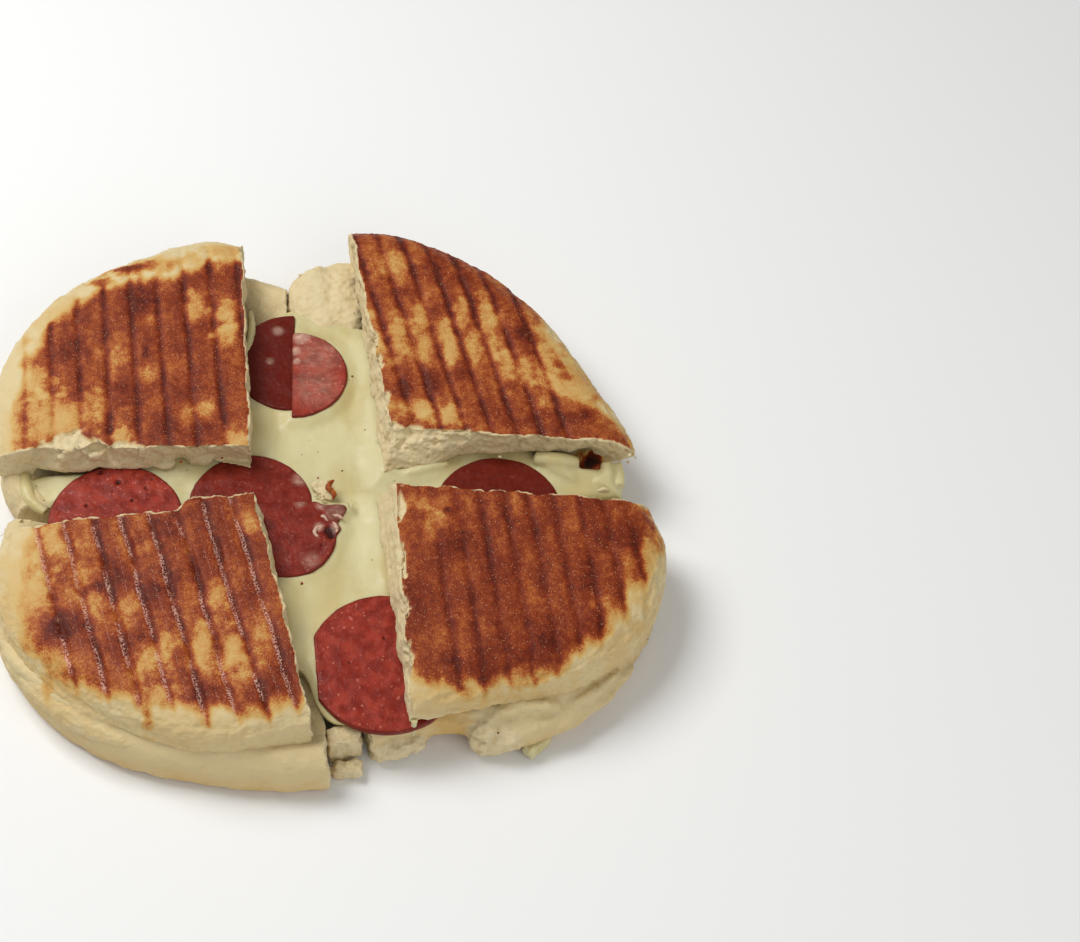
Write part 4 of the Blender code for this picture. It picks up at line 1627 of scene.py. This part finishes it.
@dataclass(frozen=True)
class Bit:
    """A loose bit of bread or a drip of cheese: middle, half sizes, turn and roughness."""

    name: str
    node: str
    middle: Triple
    half_sizes: Triple
    turn: float
    rough: float
    square: float
    seed: int
    slot: Slot = Slot.WHITE_BREAD

    STEPS = 64
    VOXEL = 0.3
    LUMPS = Swell(1.2, 3.4, 3)
    PORE_SPACING = 1.8
    PORE_EMPTY = 0.4
    PORE_SHADE = 0.5
    PORE_DEPTH = 0.6

    def build(self, finish: Material) -> None:
        """Build the bit and set it down in its solid's place.

        Args:
            finish: Its material.
        """
        grain = Grain(self.seed)
        block = ball(self.middle, self.half_sizes, self.turn, self.STEPS, self.square)
        form = Form(self.name, [block], self.VOXEL)
        at = form.points
        pore = grain.pores(at, self.PORE_SPACING, self.PORE_EMPTY)
        # The pores get a share of painted shade
        form.carry(**PLAIN_BREAD | {"crumb": 1.0, "pore": self.PORE_SHADE * pore})
        form.push(self.rough * (grain.relief(at, self.LUMPS) - self.PORE_DEPTH * pore))
        form.set_down(finish, self.slot, self.node)


@dataclass(frozen=True)
class Crumbs:
    """Small loose flakes of one kind: photograph position, height and half size of each.

    Where the height is 0 a flake lies on the cheese.
    """

    name: str
    places: tuple[tuple[float, float, float, float], ...]
    slot: Slot
    marks: dict[str, float]
    seed: int

    ROUGH = Swell(0.3, 0.9)
    SETTLING_ROUNDS = 4
    SMALLEST = 0.6
    FLATTENED = (1.0, 1.0, 0.6)
    STEPS = 10

    def build(self, finish: Material, cheese: CheeseSheet) -> None:
        """Build the flakes as one piece.

        Args:
            finish: The bread's material.
            cheese: The sheet that flakes without a height lie on.
        """
        draw = np.random.default_rng(self.seed)
        sheets = []
        for across_px, down_px, height, half in self.places:
            z = height or CHEESE_TOP
            for _ in range(0 if height else self.SETTLING_ROUNDS):
                z = float(cheese.height(np.array([VIEW.spot(across_px, down_px, z)]))[0])
            sizes = half * draw.uniform(self.SMALLEST, 1.0, 3) * self.FLATTENED
            sheets.append(ball(VIEW.spot(across_px, down_px, z), sizes, draw.uniform(0, 180), self.STEPS))
        form = Form(self.name, sheets)
        form.carry(**PLAIN_BREAD | self.marks)
        form.push(Grain(self.seed).relief(form.points, self.ROUGH))
        form.set_down(finish, self.slot)


@dataclass(frozen=True)
class Threads:
    """Thin threads of one stuff, drawn out where the bread was pulled apart."""

    name: str
    strands: tuple[Strand, ...]
    slot: Slot
    marks: dict[str, float]

    ROUGH = Swell(0.3, 1.2)
    SEED = 84

    def build(self, finish: Material) -> None:
        """Build the threads as one piece.

        Args:
            finish: Their material.
        """
        form = Form(self.name, [strand.sheet() for strand in self.strands])
        form.carry(**self.marks)
        form.push(Grain(self.SEED).relief(form.points, self.ROUGH))
        form.set_down(finish, self.slot)


@dataclass(frozen=True)
class Studio:
    """A plain pale floor and soft light."""

    floor_half: float = 3.0
    floor_colour: tuple = tint(240, 240, 238)
    key_at: Triple = (-0.5, 0.27, 0.92)
    key_size: float = 0.55
    key_power: float = 9.4
    fill_at: Triple = (0.5, -0.8, 0.62)
    fill_size: float = 1.0
    fill_power: float = 3.8
    sky: float = 0.28

    def _lamp(self, name: str, place: Triple, size: float, power: float) -> None:
        """Add one soft lamp that shines on the bread.

        Args:
            name: Its name.
            place: Where it hangs, in metres.
            size: Its width in metres.
            power: Its power in watts.
        """
        data = bpy.data.lights.new(name, "AREA")
        data.size = size
        data.energy = power
        lamp = bpy.data.objects.new(name, data)
        lamp.location = place
        lamp.rotation_euler = (-Vector(place)).to_track_quat("-Z", "Y").to_euler()
        bpy.context.scene.collection.objects.link(lamp)

    def build(self) -> None:
        """Set up the floor, the lamps and the sky."""
        scene = bpy.context.scene
        scene.view_settings.view_transform = "Standard"
        half = self.floor_half
        mesh = bpy.data.meshes.new("floor")
        corners = [(-half, -half, 0.0), (half, -half, 0.0), (half, half, 0.0), (-half, half, 0.0)]
        mesh.from_pydata(corners, [], [(0, 1, 2, 3)])
        look = Shader("pale_floor", {"Roughness": 0.8, "Base Color": self.floor_colour})
        mesh.materials.append(look.material)
        floor = bpy.data.objects.new("floor", mesh)
        scene.collection.objects.link(floor)
        self._lamp("key", self.key_at, self.key_size, self.key_power)
        self._lamp("fill", self.fill_at, self.fill_size, self.fill_power)
        world = bpy.data.worlds.new("sky")
        world.use_nodes = True
        sky = world.node_tree.nodes["Background"]
        sky.inputs["Color"].default_value = (1.0, 1.0, 1.0, 1.0)
        sky.inputs["Strength"].default_value = self.sky
        scene.world = world


BACK_LEFT = Quarter(
    "bread_top_back_left", (-26.0, 8.0), (93.5, 180.0), (98, 97, 98, 94, 85), (-0.5, 1.5), (4.0, 0.0),
    draws=(
        Draw(1, -0.5, 0.34, -4.0, foot=True), Draw(1, 0.56, 0.62, -2.5, 0.03),
        Draw(1, 0.62, 0.8, 1.5, 0.05, True),
    ),
)
BACK_RIGHT = Quarter(
    "bread_top_back_right", (17.0, 7.0), (96.2, 2.5), (102, 93, 84, 79, 83.5), (2.0, 10.0), (1.0, 0.0),
    draws=(Draw(1, 0.22, 1.2, -5.5, 0.14, True),),
)
FRONT_LEFT = Quarter(
    "bread_top_front_left", (-22.0, -11.0), (-78.5, -172.5), (81, 85, 87, 91, 88), (-2.0, -1.0), (0.0, 4.0),
    draws=(Draw(1, -0.5, 0.29, 3.8, 0.025),),
)
FRONT_RIGHT = Quarter(
    "bread_top_front_right", (14.0, -4.0), (-83.5, -5.0), (82, 84, 94, 98, 93), (6.0, -0.8), (0.0, 3.0),
    0.27,
)

BASE_FRONT_LEFT = Quarter("bread_base_front_left", (-11.0, -7.5), (-83.5, -178.5), (93, 95, 103, 105, 97))

TOPS = (
    BreadTop(
        "browned_top_back_left", BACK_LEFT, Grooves(-6.1, 9.25, -98.0, 9, 0.45, 0.26, width=1.1),
        (15.0, 18.0, 17.0, 12.0, 13.0, 11.0, 13.0, 10.0, 9.0), 0.64,
        patches(
            (196, 304, 12, 17, -0.46), (226, 313, 11, 14, -0.44), (225, 332, 12, 10, -0.52),
            (149, 320, 8, 7, -0.34), (114, 362, 10, 22, -0.28), (149, 372, 9, 10, -0.30),
            (186, 414, 12, 12, -0.28), (119, 437, 11, 9, -0.42), (207, 407, 12, 10, -0.30),
            (32, 382, 18, 15, -0.56), (56, 421, 44, 26, -0.54), (236, 441, 15, 10, -0.52),
            (70, 351, 22, 17, 0.16), (137, 300, 16, 16, 0.26), (196, 279, 12, 8, 0.14),
            (246, 269, 9, 11, 0.28), (146, 350, 6, 9, 0.26), (175, 392, 19, 14, 0.18),
            (119, 386, 10, 8, 0.22), (109, 425, 6, 20, 0.26), (207, 429, 12, 10, 0.18),
            (170, 420, 6, 16, 0.20), (135, 425, 5, 16, 0.22),
        ),
        # The patch at the back corner by the gap, at (226, 249), is painted shade; the others are stains
        stains_and_shade=patches(
            (135, 266, 24, 7, 0.62), (98, 280, 11, 6, 0.55), (226, 249, 26, 10, 0.22),
            (24, 338, 6, 9, 0.20), (23, 362, 5, 6, 0.24), (30, 390, 12, 20, 0.10),
            (60, 310, 30, 20, 0.10), (12, 430, 14, 24, 0.07), (150, 262, 60, 8, 0.20),
        ),
        bare=patches(
            (76, 442, 25, 9, 1.0), (48, 447, 14, 6, 1.0), (121, 447, 18, 5, 1.0),
            (165, 449, 16, 3, 1.0), (205, 449, 16, 4, 1.0),
        ),
        crumb_lumps=(
            Lump(58, 452, 25.6, (3.6, 3.2, 2.8)), Lump(72, 450, 26.6, (3.4, 3.2, 3.0), 20.0),
            Lump(86, 451, 26.4, (3.2, 3.0, 2.8)), Lump(97, 454, 24.6, (2.2, 2.6, 2.4)),
            Lump(64, 458, 21.5, (3.8, 3.0, 2.8)), Lump(82, 459, 21.5, (3.6, 3.0, 2.6)),
            Lump(46, 458, 21.5, (2.8, 2.4, 2.2)),
            Lump(116, 459, 21.5, (3.4, 2.8, 2.8)), Lump(134, 460, 21.5, (3.6, 2.4, 2.4)),
            Lump(162, 462, 21.0, (4.4, 2.4, 2.2)), Lump(200, 460, 20.5, (4.4, 2.0, 2.0)),
        ),
        tear=0.75, seed=1,
    ),
    BreadTop(
        "browned_top_back_right", BACK_RIGHT, Grooves(-13.4, 7.9, 30.6, 7, 0.45, 0.34, width=1.15),
        (1.0, -1.0, -1.0, -1.0, -1.0, 1.0, 11.0, 18.0, 15.0, 6.0, 2.0), 0.58,
        patches(
            (390, 264, 20, 15, -0.38), (422, 312, 8, 20, -0.34), (462, 309, 9, 18, -0.36),
            (485, 308, 8, 16, -0.34), (449, 345, 7, 26, -0.46), (398, 340, 8, 28, -0.30),
            (374, 343, 9, 24, -0.46), (491, 345, 8, 22, -0.30), (507, 364, 9, 22, -0.32),
            (472, 350, 7, 26, -0.24), (524, 370, 8, 16, -0.30), (450, 338, 70, 34, -0.08),
            (424, 350, 7, 20, -0.24),
            (555, 352, 14, 12, -0.60), (558, 384, 14, 10, -0.50), (590, 396, 16, 8, -0.40),
            (422, 408, 22, 10, -0.42), (442, 418, 20, 8, -0.42), (539, 327, 8, 6, -0.30),
            (430, 270, 20, 12, 0.22), (462, 278, 22, 10, 0.22), (436, 310, 9, 10, 0.24),
            (521, 333, 9, 9, 0.30), (434, 380, 14, 12, 0.24), (462, 372, 13, 10, 0.22),
            (400, 390, 16, 10, 0.20), (576, 416, 20, 10, 0.26), (533, 418, 24, 10, 0.16),
            (400, 292, 16, 6, 0.20),
        ),
        stains_and_shade=patches(
            (560, 362, 5, 5, 0.36), (566, 377, 6, 4, 0.34), (597, 394, 9, 5, 0.30),
            (575, 378, 44, 32, 0.24), (545, 345, 18, 22, 0.22),
        ),
        bare=patches(
            (393, 432, 15, 8, 1.0), (415, 430, 10, 4, 1.0), (450, 432, 26, 3, 1.0),
            (520, 439, 24, 3, 1.0), (374, 336, 4, 10, 1.0), (379, 358, 4, 8, 1.0),
            (386, 396, 4, 8, 1.0), (622, 456, 8, 4, 1.0), (352, 262, 4, 9, 1.0),
        ),
        tear=0.9, seed=2,
    ),
    BreadTop(
        "browned_top_front_left", FRONT_LEFT, Grooves(-16.0, 8.85, -95.4, 8, 1.0, 0.30, 1.0, 1.15),
        (9.0, 8.0, 8.5, 7.5, 4.0, 2.0, 5.0, 11.0, 13.0), 0.63,
        patches(
            (40, 545, 22, 20, -0.34), (29, 590, 16, 24, -0.34), (92, 603, 11, 13, -0.38),
            (86, 572, 11, 9, -0.24), (132, 606, 13, 9, -0.30), (145, 548, 9, 9, -0.22),
            (218, 594, 9, 11, -0.38), (172, 641, 9, 11, -0.24), (202, 645, 9, 18, -0.34),
            (233, 652, 9, 18, -0.40), (244, 676, 9, 13, -0.30), (150, 660, 11, 11, -0.42),
            (163, 693, 13, 9, -0.30), (53, 656, 16, 12, -0.40), (249, 522, 9, 12, -0.28),
            (55, 625, 18, 13, 0.34), (79, 621, 12, 12, 0.20), (99, 588, 10, 10, 0.26),
            (123, 577, 10, 12, 0.20), (152, 590, 11, 16, 0.26), (172, 583, 10, 12, 0.22),
            (136, 638, 12, 12, 0.22), (200, 692, 20, 12, 0.30), (264, 685, 14, 10, 0.20),
            (284, 645, 10, 18, 0.12), (163, 524, 12, 10, 0.20), (205, 517, 20, 16, 0.24),
            (258, 570, 14, 30, 0.06), (100, 645, 20, 12, 0.12), (222, 660, 42, 32, -0.16),
            (150, 668, 28, 26, -0.16), (60, 555, 46, 40, -0.14), (44, 600, 30, 30, -0.10),
        ),
        stains_and_shade=patches(
            (20, 590, 26, 50, 0.10), (60, 680, 50, 20, 0.06), (180, 722, 70, 16, 0.05),
            (34, 640, 5, 12, 0.22), (46, 660, 5, 14, 0.20), (146, 709, 4.5, 7, 0.42),
        ),
        folds=(
            RimFold(
                BASE_FRONT_LEFT, 13.6, 5.2, (0.34, 0.42, 0.51, 0.60, 0.69, 0.78, 0.87, 0.95),
                (1.5, 3.8, 5.2, 5.7, 5.8, 5.6, 5.0, 3.0),
            ),
            RimFold(
                BASE_FRONT_LEFT, 18.2, 8.6, (0.36, 0.44, 0.53, 0.62, 0.71, 0.80, 0.88, 0.95),
                (1.2, 3.2, 4.6, 5.2, 5.4, 5.2, 4.4, 2.4),
            ),
        ),
        tear=0.8, seed=3,
    ),
    BreadTop(
        "browned_top_front_right", FRONT_RIGHT, Grooves(-5.6, 7.7, 30.5, 9, 0.28, 0.16),
        (11.0, 6.0, 4.0, 5.0, 7.0, 8.5, 9.0, 4.0, 0.5), 0.70,
        patches(
            (423, 503, 14, 9, -0.34), (433, 524, 12, 12, -0.24), (515, 500, 5, 18, -0.26),
            (492, 500, 4, 20, -0.18), (469, 500, 5, 16, -0.14), (536, 500, 5, 18, -0.20),
            (519, 583, 13, 9, -0.12), (462, 615, 12, 14, -0.12), (607, 606, 11, 12, -0.26),
            (523, 634, 12, 10, -0.10), (649, 552, 9, 19, -0.50), (628, 582, 5, 24, -0.28),
            (448, 510, 4, 3, 0.45), (605, 537, 12, 9, 0.18), (462, 541, 10, 11, 0.14),
            (498, 640, 14, 9, 0.12), (542, 640, 14, 8, 0.14), (450, 656, 9, 8, 0.14),
            (477, 656, 9, 8, 0.12), (645, 500, 10, 8, -0.30),
        ),
        stains_and_shade=patches(
            (642, 560, 16, 44, 0.12), (560, 690, 60, 16, 0.08), (450, 690, 40, 10, 0.10),
            (620, 640, 26, 26, 0.07),
        ),
        bare=patches(
            (401, 505, 4, 14, 1.0), (403, 560, 4, 14, 1.0), (405, 604, 4, 12, 1.0),
            (408, 660, 4, 14, 1.0),
        ),
        tear=0.6, seed=4,
    ),
)

BASES = (
    BreadBase(
        "dough_base_back_left",
        Quarter(
            "bread_base_back_left", (-12.0, -4.5), (92.5, 180.0), (98, 112, 114, 107, 97), nips=(2.0, 5.0),
        ),
        seed=21,
    ),
    BreadBase(
        "dough_base_back_right",
        Quarter(
            "bread_base_back_right", (-9.6, -4.0), (91.0, 3.0), (108, 109, 108, 106, 106), nips=(8.0, 0.0),
        ),
        (
            Lump(316, 302, 12.6, (10.2, 14.0, 7.4)), Lump(326, 318, 12.4, (10.0, 12.0, 6.4)),
            Lump(342, 303, 13.4, (6.6, 14.0, 6.4)), Lump(317, 271, 18.0, (2.6, 2.0, 1.4), 30.0),
            Lump(350, 314, 12.8, (6.4, 12.0, 6.2)),
        ),
        folds=(Strand(((283, 293, 7.0), (283, 302, 9.0), (284, 313, 12.0)), (1.0, 1.8, 1.6)),),
        # The first stain paints the dark hole under the cheese web, as shade seen through it; the second
        # darkens a narrow streak of dough at the back gap
        stains_and_shade=patches((588, 471, 13, 9, 1.3, BASE_TOP), (282, 298, 5, 14, 0.9, 11.0)),
        voxel=0.6, seed=22,
    ),
    BreadBase(
        "dough_base_front_left", BASE_FRONT_LEFT,
        folds=(
            Strand(
                (
                    (2, 632, 16.4), (19, 662, 16.4), (41, 681, 16.4), (72, 702, 16.4), (107, 719, 16.2),
                    (173, 740, 16.0), (240, 751, 15.8), (296, 744, 15.6),
                ),
                (2.2, 3.4, 3.8, 3.6, 3.0, 3.2, 3.4, 2.0),
            ),
        ),
        seed=23,
    ),
    BreadBase(
        "dough_base_front_right",
        Quarter(
            "bread_base_front_right", (-8.4, -7.0), (-76.0, 2.0),
            (85, 85.5, 92, 104, 110, 115, 117, 114, 108),
        ),
        (
            Lump(486, 741, 6.0, (5.4, 4.0, 5.0)), Lump(478, 738, 6.0, (3.6, 3.0, 3.6)),
            Lump(496, 744, 4.6, (5.0, 3.4, 3.8)), Lump(505, 737, 7.4, (6.0, 4.0, 5.0)),
            Lump(488, 730, 10.4, (5.4, 4.0, 4.0)),
            Lump(384, 752, 5.0, (4.2, 2.6, 4.6)), Lump(398, 749, 5.6, (4.6, 2.4, 4.4)),
            Lump(414, 745, 5.6, (4.4, 2.4, 4.0)),
        ),
        (
            Strand(
                (
                    (487, 736, 7.0), (505, 732, 7.2), (528, 726, 7.6), (554, 717, 8.2), (580, 705, 8.6),
                    (606, 688, 8.8), (634, 664, 9.4),
                ),
                (5.0, 6.2, 6.4, 6.2, 5.4, 4.2, 1.5),
            ),
            Strand(
                ((560, 709, 13.5), (580, 700, 14.2), (600, 688, 14.2), (622, 670, 13.8)),
                (0.6, 1.8, 1.8, 0.8),
            ),
            Strand(
                ((484, 723, 13.0), (500, 713, 15.6), (520, 707, 16.6), (545, 705, 16.4), (562, 706, 15.0)),
                (1.6, 2.7, 2.8, 2.4, 1.2),
            ),
            Strand(((541, 727, 8.0), (539, 737, 5.5), (537, 746, 2.6)), (4.4, 2.8, 1.3)),
        ),
        dents=(Lump(446, 740, 2.2, (9.0, 7.0, 5.4)),),
        # Painted shade under the overhang of the dent
        stains_and_shade=patches((441, 729, 26, 8, 0.14, 9.0)),
        tear=2.0, creased=1.5, voxel=0.6, seed=24,
    ),
)

SLICES = (
    Slice(
        "cut_sausage_left", "sausage_slice_left", (-70.0, -12.0), 22.0, drop=0.4, dip=180.0,
        pits=(
            (100, 472, 0.8), (118, 482, 1.1), (146, 488, 0.6), (86, 505, 0.6), (152, 479, 0.5),
            (132, 500, 0.6),
        ),
        seed=41,
    ),
    Slice(
        "cut_sausage_back_left", "sausage_slice_back_left_half", (-13.4, 53.5), 20.5, chords=((0.0, 0.5),),
        drop=1.0, dip=0.0, lift=-0.6, tears=((278, 330, 2.0, 0.5), (270, 360, 1.5, 0.3)), deep=0.9,
        seam_shade=1.0, seed=42,
    ),
    Slice(
        "cut_sausage_back_right", "sausage_slice_back_right_half", (-12.6, 47.3), 17.9,
        chords=((180.0, 0.9),),
        drop=1.2, dip=180.0, lift=0.6,
        tears=(
            (302, 338, 3.2, 0.7), (296, 352, 2.0, 0.7), (316, 333, 2.6, 0.8), (297, 362, 1.6, 0.6),
            (330, 350, 2.4, 0.3),
            (318, 358, 9.0, 0.2), (316, 388, 9.0, 0.2),
        ),
        seam_shade=0.6, seed=43,
    ),
    Slice(
        "cut_sausage_centre_back", "sausage_slice_centre_back", (-26.5, -6.0), 20.3, chords=((-88.0, 5.5),),
        drop=0.6, dip=0.0, lift=-0.3, tears=((300, 478, 2.5, 0.4),), deep=0.5, seed=44,
    ),
    Slice(
        "cut_sausage_centre_front", "sausage_slice_centre_front", (-14.0, -17.5), 15.5,
        chords=((92.0, 12.4),),
        lobes=((30.0, 10.0, 6.0), (8.0, 6.0, 1.5)), drop=1.2, dip=-90.0, lift=0.7,
        pits=((329, 532, 2.0), (331, 536, 1.6), (322, 545, 0.4)),
        tears=(
            (322, 506, 2.0, 0.5), (336, 512, 3.4, 0.55), (319, 528, 1.6, 0.6), (336, 528, 1.6, 0.6),
            (300, 504, 2.0, 0.3), (312, 560, 3.0, 0.25),
        ),
        deep=0.42, seam_shade=0.3, seed=45,
    ),
    Slice(
        "cut_sausage_front", "sausage_slice_front", (16.5, -64.0), 24.0, chords=((184.0, 21.5),),
        drop=0.8, dip=-90.0, pits=((384, 638, 0.5), (349, 662, 0.4)), seed=46,
    ),
    Slice(
        "cut_sausage_right", "sausage_slice_right", (54.0, -7.2), 20.5, drop=0.5, dip=90.0, deep=0.8,
        seed=47,
    ),
)

BITS = (
    Bit("torn_crumb_centre", "crumb_bit_centre", (-2.6, 0.4, 18.4), (2.9, 3.9, 1.4), 25.0, 0.8, 0.45, 71),
    Bit("torn_block_front", "crumb_block_front", (3.6, -85.8, 6.9), (5.4, 3.4, 6.9), 10.0, 0.55, 0.7, 72),
    Bit("loose_crumb_front", "crumb_chunk_front", (5.0, -92.6, 2.9), (4.8, 2.6, 2.9), 4.0, 0.8, 0.45, 73),
)
DRIP = Bit(
    "cheese_drip", "cheese_drip_front_right", (63.2, -84.4, 3.1), (4.9, 2.2, 3.1), 42.0, 0.5, 0.6, 74,
    Slot.CHEESE,
)


CHEESE = CheeseSheet(
    tuple(top.plan for top in TOPS), SLICES,
    folds=(
        Strand(
            ((598, 480, 16.6), (608, 487, 16.4), (616, 493, 15.6), (622, 498, 14.6)), (3.0, 2.2, 1.4, 0.5),
        ),
        Strand(((368, 372, 16.8), (373, 392, 16.9), (374, 410, 17.0)), (0.8, 1.5, 0.8)),
        Strand(
            ((376, 428, 17.0), (380, 446, 17.6), (388, 470, 17.9), (410, 474, 18.2)), (1.0, 2.0, 2.2, 1.2),
        ),
        Strand(((400, 476, 18.0), (425, 469, 18.5), (448, 464, 18.6)), (1.4, 2.2, 1.4)),
        Strand(((534, 458, 19.6), (558, 461, 19.6), (578, 464, 18.4)), (2.2, 3.0, 2.0)),
        Strand(((27, 464, 15.4), (25, 482, 15.8), (31, 500, 16.0), (46, 513, 16.2)), (1.8, 2.4, 2.4, 1.4)),
        Strand(((548, 466, 18.6), (562, 472, 17.6), (576, 482, 16.2)), (2.0, 2.6, 2.0)),
        Strand(((606, 462, 19.0), (608, 472, 17.6), (606, 482, 16.4)), (2.0, 2.2, 2.6)),
        Strand(((618, 462, 18.6), (620, 474, 16.8), (619, 486, 15.8)), (1.4, 1.6, 2.0)),
    ),
)
DARK_SPECKS = Crumbs(
    "dark_specks",
    (
        (352, 376, 0, 0.34), (349, 380, 0, 0.26), (373, 392, 0, 0.3), (342, 388, 0, 0.3),
        (342, 471, 0, 0.3),
        (342, 477, 0, 0.26), (302, 455, 0, 0.32), (354, 313, 0, 0.3), (318, 452, 0, 0.24),
        (365, 430, 0, 0.24),
        (388, 520, 0, 0.26), (372, 560, 0, 0.22), (398, 492, 0, 0.26), (44, 500, 0, 0.3),
        (36, 486, 0, 0.26),
        (626, 586, 29.4, 0.36), (642, 615, 26.4, 0.34), (623, 641, 26.8, 0.34), (648, 639, 22.6, 0.3),
        (498, 733, 14.0, 0.34), (404, 500, 28.0, 0.3),
    ),
    Slot.CRUST, {"tone": 0.96}, 81,
)
BROWN_CRUMBS = Crumbs(
    "brown_flakes",
    (
        (135, 453, 24.5, 0.9), (139, 457, 23.0, 0.8), (133, 449, 26.0, 0.7),
        (318, 478, 0, 0.5), (302, 583, 28.6, 0.5), (181, 462, 23.5, 0.6),
        (222, 458, 23.0, 0.5), (388, 392, 24.0, 0.5), (383, 352, 25.0, 0.6),
    ),
    Slot.CRUST, {"tone": 0.62}, 82,
)
PALE_CRUMBS = Crumbs(
    "pale_crumbs",
    (
        (323, 499, 20.0, 1.2), (316, 496, 19.6, 0.9), (310, 440, 0, 0.6), (386, 470, 0, 0.7),
        (394, 480, 0, 0.5),
        (376, 350, 0, 0.6), (378, 372, 0, 0.5), (384, 410, 0, 0.6), (110, 466, 0, 0.7), (150, 469, 0, 0.6),
        (186, 470, 0, 0.5), (392, 706, 15.5, 0.9), (402, 744, 8.0, 1.0), (474, 740, 5.0, 0.9),
        (470, 734, 6.5, 0.7),
        (476, 750, 3.0, 0.8), (345, 282, 16.0, 0.8), (322, 268, 17.6, 0.9), (300, 275, 17.0, 0.8),
        (628, 462, 20.0, 0.8),
        (548, 462, 20.5, 0.7), (500, 457, 21.0, 0.7), (430, 466, 20.0, 0.7), (630, 455, 27.0, 0.8),
    ),
    Slot.WHITE_BREAD, {"crumb": 1.0}, 83,
)
THREADS = Threads(
    "cheese_threads",
    (
        Strand(((1, 536, 12.0), (8, 530, 14.5), (15, 524, 16.5), (22, 520, 18.0)), (0.12, 0.2, 0.22, 0.5)),
        Strand(
            ((414, 720, 21.0), (414, 726, 18.0), (414, 731, 15.5), (413, 735, 13.8)), (1.0, 0.7, 0.4, 0.3),
        ),
        Strand(((386, 428, 23.5), (381, 436, 20.5), (377, 446, 18.0)), (0.9, 0.5, 0.9)),
        Strand(((390, 452, 22.5), (385, 460, 19.8), (380, 470, 18.0)), (0.9, 0.5, 0.9)),
        Strand(((383, 398, 23.0), (379, 404, 20.0), (375, 412, 17.8)), (0.8, 0.4, 0.8)),
        Strand(((352, 508, 20.6), (350, 503, 20.9), (345, 500, 20.4)), (0.3, 0.4, 0.3)),
        Strand(
            ((250, 312, 17.5), (252, 325, 18.6), (250, 340, 18.4), (247, 352, 18.2)), (0.9, 1.3, 1.3, 0.6),
        ),
    ),
    Slot.CHEESE, {},
)
TORN_FAT = Threads(
    "torn_fat",
    (
        Strand(
            ((320, 526, 19.7), (316, 528, 20.0), (315, 533, 20.0), (318, 537, 19.5)),
            (0.3, 0.55, 0.6, 0.25),
        ),
        Strand(((320, 516, 19.6), (324, 517, 20.1), (328, 521, 19.8)), (0.3, 0.6, 0.25)),
        Strand(
            ((333, 523, 19.6), (336, 526, 19.9), (337, 531, 19.6), (335, 535, 19.0)), (0.3, 0.6, 0.5, 0.2),
        ),
        Strand(((333, 515, 19.8), (338, 516, 20.2), (343, 519, 19.6)), (0.3, 0.65, 0.3)),
    ),
    Slot.SAUSAGE, {"torn": 0.7, "skin": 0.0, "pit": 0.0, "deep": 0.0},
)
BROWN_SHRED = Threads(
    "brown_shred",
    (
        Strand(
            ((334, 480, 21.2), (329, 485, 21.6), (329, 489, 21.2), (333, 492, 20.6)), (0.4, 0.9, 0.9, 0.4),
        ),
        Strand(((330, 488, 20.6), (334, 494, 20.6), (333, 499, 20.0)), (0.5, 0.8, 0.3)),
    ),
    Slot.CRUST, PLAIN_BREAD | {"tone": 0.55},
)


def main() -> None:
    """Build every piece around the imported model."""
    logging.basicConfig(level=logging.INFO, format="%(message)s")
    VIEW.place()
    Studio().build()
    bread = BreadFinish().make()
    cheese = CheeseFinish().make()
    sausage = SausageFinish().make()
    for top in TOPS:
        top.build(bread)
    for base in BASES:
        base.build(bread)
    CHEESE.build(cheese)
    for piece in SLICES:
        piece.build(sausage)
    for bit in BITS:
        bit.build(bread)
    DRIP.build(cheese)
    THREADS.build(cheese)
    TORN_FAT.build(sausage)
    BROWN_SHRED.build(bread)
    for crumbs in (DARK_SPECKS, BROWN_CRUMBS, PALE_CRUMBS):
        crumbs.build(bread, CHEESE)


if __name__ == "__main__":
    main()
